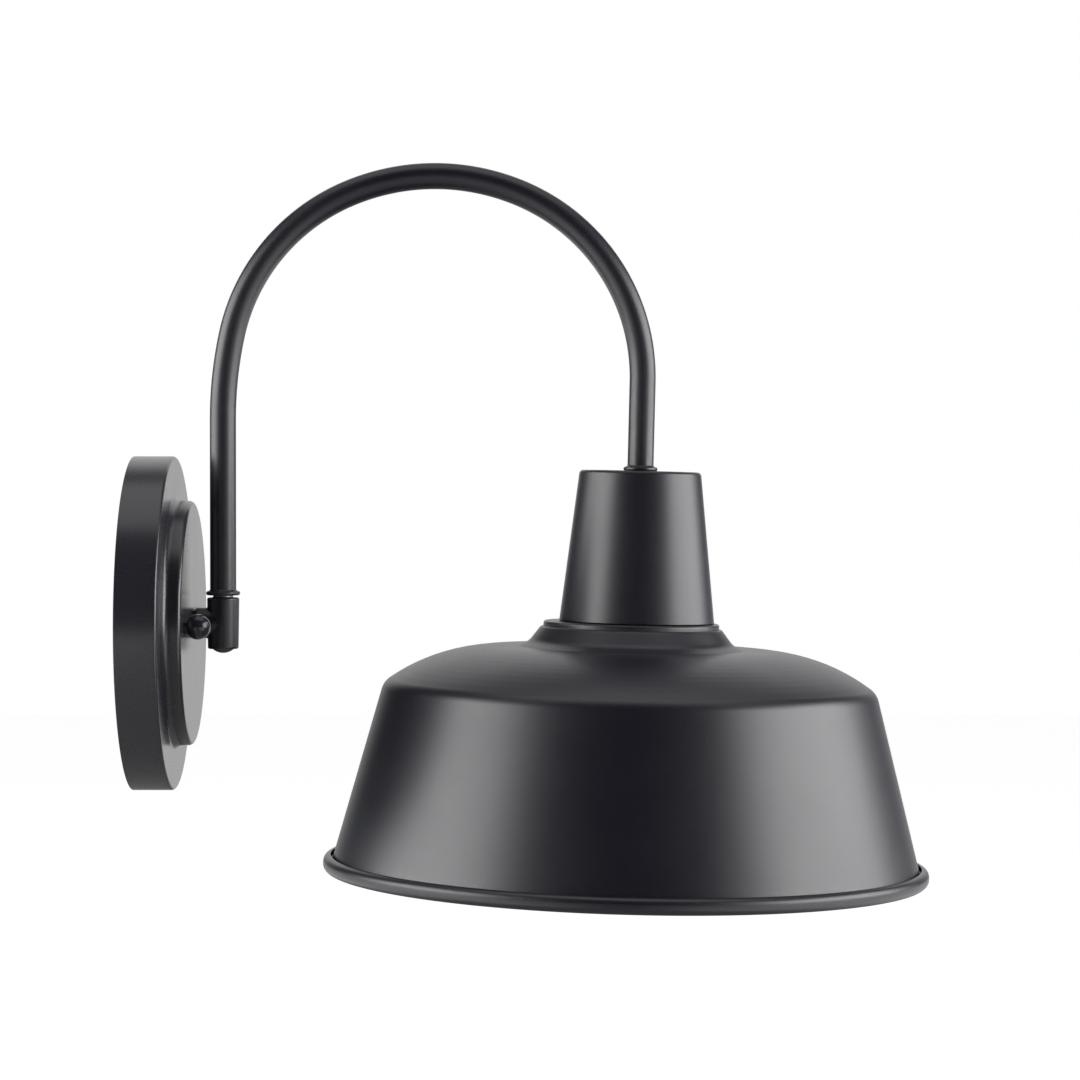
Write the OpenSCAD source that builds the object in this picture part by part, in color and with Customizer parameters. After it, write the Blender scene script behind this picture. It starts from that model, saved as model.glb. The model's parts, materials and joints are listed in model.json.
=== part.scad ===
// Gooseneck wall lantern: a moulded canopy, a drilled elbow, an arched tube arm,
// a tapered socket cup and a spun shade with a wired rim.
// Origin: centre of the canopy's back plane, on the wall. +Y points into the wall,
// so the lantern stands out along -Y, and +Z is up.

/* [Canopy] */
// Outer diameter of the canopy
canopy_d = 166; // [150:1:190]
// Depth of the canopy's outer drum, measured from the wall
canopy_depth = 20.4; // [18:0.1:30]
// Wall of the canopy casting
canopy_wall = 1.6; // [1.2:0.1:1.8]
// Diameter of the raised inner drum
drum_d = 121.6; // [108:0.1:126]
// Height of the raised inner drum above the outer drum's face
drum_rise = 9; // [8:0.1:14]
// Radius of the cove at the raised drum's foot
cove_r = 3.4; // [2:0.1:3.6]
// Distance between the two ball nuts
ball_spacing = 88.9; // [80:0.1:96]
// Diameter of a ball nut
ball_d = 12.4; // [9:0.1:16]
// Distance from a ball nut's centre to the canopy's face
ball_stand = 6.6; // [6:0.1:9]

/* [Wall side] */
// Width of the sealing gasket
gasket_w = 7; // [4:0.5:10]
// Thickness of the sealing gasket
gasket_t = 3; // [2:0.5:5]
// Thickness of the mounting strap
strap_t = 2; // [1.5:0.1:3]
// Width of the mounting strap's arms
strap_w = 20; // [16:0.5:24]
// Smallest spacing of box screws that the strap takes
box_min = 69.85; // [66:0.05:74]
// Largest spacing of box screws that the strap takes
box_max = 88.9; // [84:0.05:92]
// Width of the strap's box screw slots
slot_w = 4.6; // [3.6:0.1:5.5]
// Diameter of the canopy studs
stud_d = 4; // [3:0.1:5]

/* [Elbow] */
// Length of the elbow's neck between the canopy and the barrel
stub_len = 6.5; // [5:0.1:20]
// Diameter of the elbow's neck
stub_d = 15.1; // [14:0.1:15.3]
// Diameter of the barrel at its top
barrel_d = 16; // [15.8:0.1:20]
// Diameter of the barrel at its foot
barrel_foot_d = 15.3; // [15:0.1:20]
// Height of the barrel above the neck's axis
barrel_up = 12.7; // [11:0.1:20]
// Depth of the barrel below the neck's axis
barrel_down = 12.85; // [11:0.1:20]
// How far the domed plug stands out of the barrel's foot
plug_rise = 2.1; // [1.5:0.1:3]
// Diameter of the lamp thread on both nipples
thread_d = 10.3; // [9.5:0.1:10.4]
// Bore of the nipples
nipple_bore = 7.6; // [6.5:0.1:8]
// Open gap between the barrel and the swivel ring
swivel_gap = 1.1; // [0.6:0.1:3]

/* [Arm] */
// Outer diameter of the arm tube
tube_d = 13; // [12.7:0.1:15]
// Diameter of the bead rings at both ends of the tube
ring_d = 16.9; // [16:0.1:20]
// Thickness of the bead rings
ring_t = 2.1; // [1.6:0.1:4]
// Straight rise of the tube from its foot to the first bend
leg_len = 87.5; // [60:0.5:160]
// Radius of the easy bend above the foot
ease_r = 199; // [150:0.5:260]
// Angle of the easy bend
ease_angle = 12.2; // [4:0.1:16]
// Radius of the arch's two shoulders
shoulder_r = 98.8; // [80:0.1:130]
// Angle of the shoulder over the foot
shoulder_angle = 54.4; // [48:0.1:58]
// Radius of the arch's crown
crown_bend_r = 110.2; // [90:0.1:140]
// Angle of the crown
crown_bend_angle = 46.6; // [40:0.1:50]
// Angle of the shoulder over the lamp
lamp_shoulder_angle = 68.2; // [62:0.1:72]
// Straight drop of the tube from the last bend to the cup
drop_len = 44.5; // [20:0.5:120]

/* [Cup] */
// Height of the socket cup
cup_h = 75; // [70:0.1:110]
// Diameter of the cup at its top
cup_top_d = 60.4; // [54:0.1:74]
// Diameter of the cup at its foot
cup_foot_d = 77.2; // [76:0.1:84]
// Wall of the cup
cup_wall = 1.2; // [0.8:0.1:1.6]
// How far the lampholder, the shade and the bulb sit from the cup's axis
lamp_shift = 2.6; // [0:0.1:4]

/* [Shade] */
// Outer diameter of the shade over its rim bead
shade_d = 301; // [270:1:400]
// Depth of the shade from the cup's foot to the middle of the rim bead
shade_depth = 123.1; // [105:0.1:150]
// Thickness of the shade's sheet
sheet_t = 1; // [0.8:0.1:1.4]
// Diameter of the curled rim bead
bead_d = 6.8; // [6:0.1:10]
// Slope of the skirt away from the lamp's axis
skirt_angle = 14.8; // [5:0.1:20]
// Radius of the rounded corner between skirt and crown
corner_r = 10; // [5:0.5:14]
// Distance of the crown's flat top below the cup's foot
crown_drop = 13.1; // [12.5:0.1:16]
// Radius at which the crown starts to fall
crown_flat_r = 64.8; // [56:0.1:70]
// Radius of the crown's curve
crown_r = 94.7; // [80:0.1:100]
// Slope of the crown where it meets the corner
crown_slope = 35.5; // [30:0.1:40]
// Diameter of the shade's neck at its shoulder
neck_d = 90; // [89.6:0.1:93]
// Diameter of the flared neck where it meets the crown
flare_d = 112.8; // [110:0.1:118]
// Diameter of the flat ring under the cup
flat_ring_d = 87.6; // [86:0.1:88]

/* [Lamp] */
// Diameter of the lampholder's threaded skirt
holder_d = 38.4; // [36:0.1:40]
// Height of the lampholder above the cup's foot
holder_up = 38; // [34:0.5:44]
// Length of the lampholder's skirt below the cup's foot
holder_down = 13; // [11:0.5:16]
// Diameter of the bulb's globe
globe_d = 60; // [56:0.5:70]
// Length of the bulb from its contact to the globe's end
bulb_len = 110; // [100:1:120]

/* [Hidden] */
$fn = 96;

black_coat = "#1d1d1f";
dark_plastic = "#2b2b2d";
zinc = "#b9bcc0";
brass = "#c8a24a";
porcelain = "#ece9e2";

// Clearances, radial unless a name says otherwise
close_fit = 0.05;  // a thread, nipple or pressed pin in its bore
free_fit = 0.3;    // a loose part in its hole
seat = 0.3;        // soft or loose part to the face that carries it
facet = 6;         // largest angle between two points of a rounded outline
cut = 1;           // how far a cutter runs past the face that it opens

// Canopy heights, measured from the wall
face_d = canopy_depth + drum_rise;
canopy_edge_r = 1.5;
drum_edge_r = 2.2;

// Elbow
axis_y = -(face_d + stub_len + barrel_d / 2);
thread_bore = thread_d + 2 * close_fit;
wire_bore = 8;
barrel_edge = 0.6;
stub_edge = 1.5;
plug_shank = 6;
nipple_in_elbow = 6.2;
nipple_in_stub = 7.6;
nipple_in_tube = 18;

// Nuts and washers on the nipples
nut_af = 14;
nut_t = 4;
washer_d = 19;
washer_t = 1;
nut_end = 2.4;     // thread that shows past a nut
clamp_len = washer_t + nut_t + nut_end;

// Wires
cable_d = 5;
cable_bend = 7;
core_d = 1.8;
lead_d = 2.2;
jacket_out = 6;    // jacket that shows past the end of a nipple
face_inside = face_d - canopy_wall;
nipple_end = face_inside - clamp_len;
jacket_end = nipple_end - jacket_out;
connector_x = 26;
connector_y = 8.5;
connector_top = -14;
connector_grip = 12;
connector_len = 22;
connector_tip_r = 4.4;
connector_body_r = 5.2;
connector_mouth_r = 5.7;
connector_skirt = 3;
connector_edge = 0.8;
ground_drop = 22.4;
ground_screw_d = 3.5;
ground_head_d = 7.4;

// Arm route: each stop is [y, z, heading], and the heading turns from up to outward
stop_angle = 4.2;  // largest turn between two stops of a bend
tube_foot = barrel_up + swivel_gap;
bends = [[ease_r, ease_angle], [shoulder_r, shoulder_angle], [crown_bend_r, crown_bend_angle],
    [shoulder_r, lamp_shoulder_angle]];
arch_start = [axis_y, tube_foot + leg_len, 0];
arch_stops = route(arch_start, bends, 0);
arch_end = arch_stops[len(arch_stops) - 1];
head_at = advance(arch_end, drop_len);
tilt = head_at[2] - 180;
tube_bore = thread_bore;
tube_sides = 36;
cable_sides = 10;
arm_stops = concat([[axis_y, tube_foot, 0]], arch_stops, [head_at]);

// Lampholder, measured up from the cup's foot along the lamp's axis
shade_top = -seat;
plate_under = shade_top - sheet_t;
holder_r = 18;
holder_flat = 16.5;
flange_r = 23;
flange_t = 4;
shell_r = 13.95;
shell_groove = 13.6;
shell_crest = 13.2;
shell_top = 14.7;
shell_pitch = 3.6;
contact_top = 15;
contact_t = 1;
holder_screw_z = 26;
holder_screw_d = 3.5;
terminal_z = 27;
terminal_d = 3;
terminal_head_d = 6.8;
screw_depth = 9;
lamp_ring_r = 27;
lamp_ring_t = 6;
bracket_t = 1.5;
bracket_w = 13;
flat_ring_h = 3;
flat_ring_edge = 1.2;
neck_edge_r = 1.6;
cove_in = 5.6;     // from the flare's foot in to the corner of its cove
cove_up = 2.4;     // from the crown's top up to that corner
flare_cove_r = 8;
bead_out = 0.6;    // from the skirt's outer face to the middle of the rim bead
lip_rise = 1.2;    // upright stretch of the bead's outer wall
slit_w = 1.6;      // open slit between the skirt and the bead's free edge
slit_in = 0.1;     // from the skirt's face to the slit
slit_up = 2.7;     // from the bead's middle up to the bottom of the slit
bead_at = [(shade_d - bead_d) / 2, -shade_depth];
rim_wire_d = bead_d - 2 * sheet_t - 2 * seat;

// Bulb
cap_crest = 13.1;
cap_groove = 12.5;
cap_in = 12;
bulb_top = contact_top - contact_t - seat;
cap_top = bulb_top - 5;
cap_foot = -holder_down - seat;
globe_z = bulb_top - bulb_len + globe_d / 2;
globe_cut = 17;    // from the globe's middle up to its joint with the housing
globe_wall = 1.2;
globe_seat_r = sqrt(pow(globe_d / 2, 2) - pow(globe_cut, 2));

// ---- plane geometry ----

function unit(v) = v / norm(v);
function right_of(d) = [d.y, -d.x];
function wedge(a, b) = a.x * b.y - a.y * b.x;
function meet(p, d, q, e) = p + d * wedge(q - p, e) / wedge(d, e);
function heading_of(p, q) = unit(q - p);

// A path moved to its right by a distance; its last point stays at its own height
function moved(path, by) = let (n = len(path)) [for (i = [0:n - 1])
    let (d = heading_of(path[max(i - 1, 0)], path[max(i, 1)]),
         e = heading_of(path[min(i, n - 2)], path[min(i + 1, n - 1)]),
         a = path[i] + by * right_of(d),
         b = path[i] + by * right_of(e))
    i == 0 ? b : i == n - 1 ? meet(a, d, path[i], [1, 0]) : meet(a, d, b, e)];

// The arc that rounds corner p between its neighbours a and b
function rounded_corner(a, p, b, r) =
    let (u = unit(a - p), v = unit(b - p), half = acos(u * v) / 2,
         c = p + unit(u + v) * r / sin(half),
         from = p + u * r / tan(half) - c, to = p + v * r / tan(half) - c,
         start = atan2(from.y, from.x),
         sweep = sign(wedge(from, to)) * (180 - 2 * half),
         n = max(3, ceil(abs(sweep) / facet)))
    [for (i = [0:n]) c + r * [cos(start + sweep * i / n), sin(start + sweep * i / n)]];

function rounded(path, radii) = [for (i = [0:len(path) - 1])
    each radii[i] == 0 ? [path[i]] : rounded_corner(path[i - 1], path[i], path[i + 1], radii[i])];

// Radii of the path moved to its right: inner bends tighten and outer bends widen
function moved_radii(path, radii, by) = [for (i = [0:len(path) - 1])
    radii[i] == 0 ? 0 :
    wedge(path[i] - path[i - 1], path[i + 1] - path[i]) < 0 ? max(radii[i] - by, 0) : radii[i] + by];

function reversed(list) = [for (i = [len(list) - 1:-1:0]) list[i]];

// Half section of a sheet of even thickness below and inside a path
module sheet_section(path, radii, t) {
    polygon(concat(rounded(path, radii),
        reversed(rounded(moved(path, t), moved_radii(path, radii, t)))));
}

// Half section of a plain ring with rounded outer edges
module bead_section(inner, outer, t) {
    polygon(rounded([[inner, 0], [outer, 0], [outer, t], [inner, t]], [0, t * 0.45, t * 0.45, 0]));
}

// ---- routes ----

// A stop moved straight ahead, and a stop taken round a bend towards -Y
function advance(s, len) = [s[0] - len * sin(s[2]), s[1] + len * cos(s[2]), s[2]];
function turned(s, r, a) = [s[0] - r * cos(s[2]) + r * cos(s[2] + a),
    s[1] - r * sin(s[2]) + r * sin(s[2] + a), s[2] + a];
function bend_stops(s, bend) = let (n = ceil(abs(bend[1]) / stop_angle))
    [for (k = [1:n]) turned(s, bend[0], bend[1] * k / n)];
function route(s, list, i) = i == len(list) ? [s] :
    concat([s], let (b = bend_stops(s, list[i])) concat(
        [for (k = [0:len(b) - 2]) b[k]], route(b[len(b) - 1], list, i + 1)));

function ring_points(s, d, n) = [for (k = [0:n - 1]) let (a = 360 * k / n, r = d / 2)
    [r * cos(a), s[0] + r * sin(a) * cos(s[2]), s[1] + r * sin(a) * sin(s[2])]];

// Faces of a skin of m rings with n points each, and of its two flat ends
function side_faces(m, n) = [for (i = [0:m - 2], k = [0:n - 1]) let (j = (k + 1) % n)
    [i * n + k, (i + 1) * n + k, (i + 1) * n + j, i * n + j]];
function lid_faces(m, n) = [[for (k = [0:n - 1]) k], [for (k = [n - 1:-1:0]) (m - 1) * n + k]];

// A hose along stops of the arm's plane; a bore of 0 makes a solid rod
module swept(stops, d, bore, n) {
    m = len(stops);
    outer = [for (s = stops) each ring_points(s, d, n)];
    inner = [for (s = stops) each ring_points(s, bore, n)];
    o = bore > 0 ? m * n : 0;
    sides = side_faces(m, n);
    bores = [for (f = sides) [for (v = reversed(f)) v + o]];
    first = [for (k = [0:n - 1]) let (j = (k + 1) % n) [k, j, j + o, k + o]];
    last = [for (f = first) [for (v = reversed(f)) v + (m - 1) * n]];
    if (bore > 0) polyhedron(concat(outer, inner), concat(sides, bores, first, last));
    else polyhedron(outer, concat(sides, lid_faces(m, n)));
}

// A wire along free points: a ring of n points across the path at each of them
function path_heading(p, i) = unit(p[min(i + 1, len(p) - 1)] - p[max(i - 1, 0)]);
function across(h) = abs(h.z) < 0.9 ? unit(cross(h, [0, 0, 1])) : unit(cross(h, [1, 0, 0]));
function carried(p, i) = i == 0 ? across(path_heading(p, 0)) :
    let (h = path_heading(p, i), u = carried(p, i - 1)) unit(u - h * (u * h));

module wire(p, d) {
    n = 8;
    m = len(p);
    rings = [for (i = [0:m - 1]) let (h = path_heading(p, i), u = carried(p, i), v = cross(h, u))
        each [for (k = [0:n - 1]) p[i] + d / 2 * (cos(360 * k / n) * u + sin(360 * k / n) * v)]];
    polyhedron(rings, concat(side_faces(m, n), lid_faces(m, n)));
}

// A smooth curve through points, with extra points between each two
function curve_at(a, b, c, d, t) = 0.5 * (2 * b + (c - a) * t
    + (2 * a - 5 * b + 4 * c - d) * t * t + (3 * b - a - 3 * c + d) * t * t * t);
function curved(p) = concat([for (i = [0:len(p) - 2], k = [0:2])
    curve_at(p[max(i - 1, 0)], p[i], p[i + 1], p[min(i + 2, len(p) - 1)], k / 3)], [p[len(p) - 1]]);

// ---- places ----

// Local +Z points out of the wall
module at_wall() { rotate([90, 0, 0]) children(); }
// Local origin on the barrel's axis, level with the elbow's neck
module at_barrel() { translate([0, axis_y, 0]) children(); }
// Local origin at the cup's top, +Z up along the tube
module at_head() { translate([0, head_at[0], head_at[1]]) rotate([tilt, 0, 0]) children(); }
// Local origin at the cup's foot on the lamp's axis, +Z up
module at_lamp() { at_head() translate([0, lamp_shift, -cup_h]) children(); }
// Both sides of a plane through the axis
module both_sides(x) { for (s = [-1, 1]) translate([s * x, 0, 0]) children(); }

module hex_nut(af, t, bore) {
    difference() {
        intersection() {
            cylinder(d = af / cos(30), h = t, $fn = 6);
            cylinder(d1 = af * 1.06, d2 = af * 1.06 + 2 * t, h = t);
            cylinder(d1 = af * 1.06 + 2 * t, d2 = af * 1.06, h = t);
        }
        translate([0, 0, -cut]) cylinder(d = bore, h = t + 2 * cut);
    }
}

module tube_section(d, bore) { difference() { circle(d = d); circle(d = bore); } }

module washer(d, bore, t) { linear_extrude(t) tube_section(d, bore); }

// ---- wall side ----

module canopy() {
    path = [[thread_bore / 2 + free_fit, face_d], [drum_d / 2, face_d],
        [drum_d / 2, canopy_depth], [canopy_d / 2, canopy_depth], [canopy_d / 2, 0]];
    radii = [0, drum_edge_r, cove_r, canopy_edge_r, 0];
    color(black_coat)
    at_wall() difference() {
        rotate_extrude() sheet_section(path, radii, canopy_wall);
        both_sides(ball_spacing / 2) cylinder(d = stud_d + 2 * free_fit, h = face_d + cut);
    }
}

module wall_gasket() {
    outer = canopy_d / 2 - canopy_wall - seat;
    color(dark_plastic)
    at_wall() washer(2 * outer, 2 * (outer - gasket_w), gasket_t);
}

module strap_slot() {
    rise = (box_max - box_min) / 4;
    middle = (box_max + box_min) / 4;
    for (side = [-1, 1]) translate([0, side * middle]) union() {
        square([slot_w, 2 * rise], center = true);
        for (s = [-1, 1]) translate([0, s * rise]) circle(d = slot_w);
    }
}

module mounting_strap() {
    reach = box_max / 2 + slot_w / 2 + 4;
    wing = ball_spacing / 2 + stud_d / 2 + 4;
    color(zinc)
    at_wall() linear_extrude(strap_t) difference() {
        union() {
            square([strap_w, 2 * reach], center = true);
            square([2 * wing, strap_w], center = true);
            circle(d = strap_w * 1.7);
        }
        strap_slot();
        both_sides(ball_spacing / 2) circle(d = stud_d + 2 * close_fit);
        circle(d = strap_w);
        translate([0, -ground_drop]) circle(d = ground_screw_d + 2 * close_fit);
    }
}

// A stud runs from the strap's back to the bottom of its ball nut
module canopy_studs() {
    color(zinc)
    at_wall() both_sides(ball_spacing / 2) cylinder(d = stud_d, h = face_d + ball_stand);
}

module stud_lock_nuts() {
    color(zinc)
    at_wall() translate([0, 0, strap_t]) both_sides(ball_spacing / 2)
        hex_nut(stud_d * 1.75, stud_d * 0.8, stud_d + 2 * close_fit);
}

module ball_nuts() {
    collar = ball_d * 0.62;
    color(black_coat)
    at_wall() translate([0, 0, face_d]) both_sides(ball_spacing / 2) difference() {
        union() {
            translate([0, 0, ball_stand]) sphere(d = ball_d);
            cylinder(d = collar, h = ball_stand);
        }
        translate([0, 0, -ball_d]) cylinder(d = 2 * ball_d, h = ball_d);
        translate([0, 0, -cut]) cylinder(d = stud_d + 2 * close_fit, h = ball_stand + seat + cut);
    }
}

module ground_screw() {
    color("#3f7d4c")
    at_wall() translate([0, -ground_drop, strap_t]) pan_screw(ground_screw_d, strap_t, ground_head_d, 2.2);
}

// ---- elbow ----

module elbow() {
    top = barrel_d / 2;
    foot = barrel_foot_d / 2;
    color(black_coat)
    difference() {
        union() {
            at_barrel() rotate_extrude() polygon([[0, -barrel_down], [foot - barrel_edge, -barrel_down],
                [foot, -barrel_down + barrel_edge], [top, barrel_up - barrel_edge],
                [top - barrel_edge, barrel_up], [0, barrel_up]]);
            at_wall() translate([0, 0, face_d]) rotate_extrude() polygon([[0, 0],
                [stub_d / 2 - stub_edge, 0], [stub_d / 2, stub_edge],
                [stub_d / 2, -axis_y - face_d], [0, -axis_y - face_d]]);
        }
        at_barrel() translate([0, 0, -barrel_down - cut])
            cylinder(d = thread_bore, h = barrel_down + barrel_up + 2 * cut);
        at_wall() translate([0, 0, face_d - cut]) cylinder(d = thread_bore, h = nipple_in_stub + seat + cut);
        at_wall() translate([0, 0, face_d]) cylinder(d = wire_bore, h = -axis_y - face_d);
    }
}

module canopy_nipple() {
    color(zinc)
    at_wall() translate([0, 0, nipple_end])
        washer(thread_d, nipple_bore, face_d + nipple_in_stub - nipple_end);
}

module nipple_washer() {
    color(zinc)
    at_wall() translate([0, 0, face_inside - washer_t]) washer(washer_d, thread_bore, washer_t);
}

module nipple_nut() {
    color(zinc)
    at_wall() translate([0, 0, face_inside - washer_t - nut_t]) hex_nut(nut_af, nut_t, thread_bore);
}

module elbow_plug() {
    lip = thread_bore / 2 + 0.2;
    dome = (lip * lip + plug_rise * plug_rise) / (2 * plug_rise);
    color("#3a3a3c")
    at_barrel() translate([0, 0, -barrel_down]) {
        cylinder(d = thread_d, h = plug_shank);
        intersection() {
            translate([0, 0, -plug_rise - cut]) cylinder(r = lip + cut, h = plug_rise + cut);
            translate([0, 0, dome - plug_rise]) sphere(r = dome);
        }
    }
}

// Jacketed cable from behind the canopy round the elbow to the swivel plane
module wall_cable() {
    bend = route([axis_y + cable_bend, 0, 90], [[-cable_bend, -90]], 0);
    color(dark_plastic)
    swept(concat([[-jacket_end, 0, 90]], bend, [[axis_y, barrel_up, 0]]), cable_d, 0, cable_sides);
}

// Two cores to the wire connectors and the ground core to its screw
module cable_cores() {
    spread = 1.3;
    start_y = seat - jacket_end;
    run_y = -connector_y;
    ground_y = -strap_t - core_d / 2 - seat;
    screw_top = -ground_drop + ground_head_d / 2 + seat;
    color(dark_plastic)
    for (s = [-1, 1]) wire(curved([[s * spread, start_y, 0.8], [s * 3, 3 - jacket_end, 1.4],
        [s * 12, 1 + run_y, 2], [s * (connector_x - 5), run_y, -1],
        [s * connector_x, run_y, -8], [s * connector_x, run_y, connector_top],
        [s * connector_x, run_y, connector_top - connector_grip]]), core_d);
    color("#3f7d4c")
    wire(curved([[0, start_y, -spread], [0, 3 - jacket_end, -2.8], [0, -8, -8],
        [0, ground_y - 0.8, -13.5], [0, ground_y, screw_top]]), core_d);
}

module wire_connectors() {
    grip = core_d / 2 + seat;
    color("#c4622d")
    for (s = [-1, 1]) translate([s * connector_x, -connector_y, connector_top])
        rotate_extrude() polygon([[0, -connector_len],
            [connector_tip_r - connector_edge, -connector_len],
            [connector_tip_r, connector_edge - connector_len],
            [connector_body_r, -connector_skirt - connector_edge],
            [connector_mouth_r, -connector_skirt], [connector_mouth_r, 0],
            [connector_mouth_r - 2 * connector_edge, 0], [grip, -connector_grip / 2],
            [grip, -connector_grip - seat], [0, -connector_grip - seat]]);
}

// ---- arm ----

module swivel_nipple() {
    color(zinc)
    at_barrel() translate([0, 0, barrel_up - nipple_in_elbow])
        washer(thread_d, nipple_bore, nipple_in_elbow + swivel_gap + nipple_in_tube);
}

// Bead ring with a small fillet up to the tube
module tube_ring() {
    inner = tube_d / 2 + close_fit;
    rotate_extrude() union() {
        bead_section(inner, ring_d / 2, ring_t);
        polygon([[inner, ring_t / 2], [inner + 0.9, ring_t / 2],
            [inner + 0.7, ring_t], [inner, ring_t + 0.7]]);
    }
}

module swivel_ring() { color(black_coat) at_barrel() translate([0, 0, tube_foot]) tube_ring(); }

module arm_tube() { color(black_coat) swept(arm_stops, tube_d, tube_bore, tube_sides); }

// Jacketed cable from the swivel plane through the arch into the cup
module arm_cable() {
    last = advance(head_at, clamp_len + cup_wall + bracket_t + jacket_out);
    color(dark_plastic)
    swept(concat([[axis_y, barrel_up, 0]], arch_stops, [last]), cable_d, 0, cable_sides);
}

module head_nipple() {
    below = cup_wall + bracket_t + clamp_len;
    color(zinc)
    at_head() translate([0, 0, -below]) washer(thread_d, nipple_bore, below + nipple_in_tube);
}

module cup_ring() { color(black_coat) at_head() tube_ring(); }

// ---- cup ----

module socket_cup() {
    path = [[thread_bore / 2, 0], [cup_top_d / 2, 0], [cup_foot_d / 2, -cup_h]];
    color(black_coat)
    at_head() rotate_extrude() sheet_section(path, [0, 2, 0], cup_wall);
}

module lock_washer() {
    color(zinc)
    at_head() translate([0, 0, -cup_wall - bracket_t - washer_t]) washer(nut_af + 2, thread_bore, washer_t);
}

module head_nut() {
    color(zinc)
    at_head() translate([0, 0, -cup_wall - bracket_t - washer_t - nut_t]) hex_nut(nut_af, nut_t, thread_bore);
}

module socket_bracket() {
    half = holder_flat + bracket_t;
    leg_top = cup_h - cup_wall;
    back = bracket_w / 2 + 2;
    color(zinc)
    difference() {
        union() {
            at_head() translate([-half, -back, -cup_wall - bracket_t])
                cube([2 * half, back + lamp_shift + bracket_w / 2, bracket_t]);
            at_lamp() both_sides(holder_flat + bracket_t / 2)
                translate([-bracket_t / 2, -bracket_w / 2, holder_screw_z - 8])
                    cube([bracket_t, bracket_w, leg_top - holder_screw_z + 8]);
        }
        at_head() translate([0, 0, -cup_wall - bracket_t - cut])
            cylinder(d = thread_bore, h = bracket_t + 2 * cut);
        at_lamp() translate([-half - cut, 0, holder_screw_z]) rotate([0, 90, 0])
            cylinder(d = holder_screw_d + 2 * free_fit, h = 2 * (half + cut));
    }
}

// A pan head screw: its thread runs to -Z and its head stands on the plane z = 0
module pan_screw(d, len, head_d, head_t) {
    difference() {
        union() {
            translate([0, 0, -len]) cylinder(d = d, h = len + head_t / 2);
            cylinder(d1 = head_d, d2 = head_d * 0.86, h = head_t);
        }
        translate([-head_d, -0.5, head_t * 0.5]) cube([2 * head_d, 1, head_t]);
    }
}

module bracket_screws() {
    color(zinc)
    at_lamp() for (a = [0, 180]) rotate([0, 0, a]) translate([holder_flat + bracket_t, 0, holder_screw_z])
        rotate([0, 90, 0]) pan_screw(holder_screw_d, 8, 6.4, 2.2);
}

module lampholder() {
    color(porcelain)
    at_lamp() difference() {
        union() {
            intersection() {
                cylinder(r = holder_r, h = holder_up);
                translate([-holder_flat, -holder_flat, 0])
                    cube([2 * holder_flat, 2 * holder_flat, holder_up]);
            }
            translate([0, 0, shade_top]) cylinder(r = flange_r, h = flange_t);
            translate([0, 0, -holder_down]) cylinder(d = holder_d, h = holder_down);
        }
        translate([0, 0, -holder_down - cut])
            cylinder(r = shell_r + close_fit, h = holder_down + contact_top + cut);
        translate([0, 0, holder_screw_z]) rotate([0, 90, 0])
            for (a = [0, 180]) rotate([a, 0, 0]) translate([0, 0, holder_flat - screw_depth])
                cylinder(d = holder_screw_d + 2 * close_fit, h = screw_depth + cut);
        translate([0, 0, terminal_z]) rotate([90, 0, 0])
            for (a = [0, 180]) rotate([a, 0, 0]) translate([0, 0, holder_flat - screw_depth])
                cylinder(d = terminal_d + 2 * close_fit, h = screw_depth + cut);
    }
}

// Rings of a thread between two heights, from the lower to the upper
function thread_rings(crest, groove, low, high) = let (n = floor((high - low) / shell_pitch))
    [for (k = [0:n - 1], h = [0, 1])
        [h == 0 ? crest : groove, low + (high - low) * (k + 0.25 + h / 2) / n]];

module screw_shell() {
    low = 1 - holder_down;
    color(brass)
    at_lamp() rotate_extrude() polygon(concat([[shell_r, shell_top], [shell_r, low], [shell_groove, low]],
        thread_rings(shell_crest, shell_groove, low, shell_top), [[shell_groove, shell_top]]));
}

module centre_contact() {
    color(brass)
    at_lamp() translate([0, 0, contact_top - contact_t]) cylinder(r = 4, h = contact_t);
}

module terminal_screws() {
    color(brass)
    at_lamp() for (a = [0, 180]) rotate([0, 0, a]) translate([0, holder_flat, terminal_z])
        rotate([-90, 0, 0]) pan_screw(terminal_d, 6, terminal_head_d, 2.2);
}

module socket_leads() {
    top = cup_h - cup_wall - bracket_t - clamp_len - jacket_out - seat;
    y = holder_flat + lead_d / 2 + seat;
    end = terminal_z + terminal_head_d / 2 + seat;
    color(dark_plastic)
    at_lamp() for (s = [-1, 1]) wire(curved([[0, s * 1.25 - lamp_shift, top],
        [0, s * 2.4 - lamp_shift, top - 4], [0, s * 12, holder_up + 7], [0, s * (y + 1), holder_up + 1],
        [0, s * y, holder_up - 5], [0, s * y, end]]), lead_d);
}

// ---- shade ----

module shade_ring() {
    inner = holder_d / 2 + close_fit;
    color(dark_plastic)
    at_lamp() translate([0, 0, plate_under - lamp_ring_t]) difference() {
        cylinder(r = lamp_ring_r, h = lamp_ring_t);
        translate([0, 0, -cut]) cylinder(r = inner, h = lamp_ring_t + 2 * cut);
        for (a = [0:30:330]) rotate([0, 0, a]) translate([lamp_ring_r + 0.8, 0, -cut])
            cylinder(r = 2.4, h = lamp_ring_t + 2 * cut, $fn = 32);
    }
}

module rim_hoop(d) { rotate_extrude() translate(bead_at) circle(d = d); }

// The same hoop stretched upwards by the lip's rise
module rim_track(d) {
    for (up = [0, lip_rise]) translate([0, 0, up]) rim_hoop(d);
    rotate_extrude() translate([bead_at.x - d / 2, bead_at.y]) square([d, lip_rise]);
}

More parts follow.
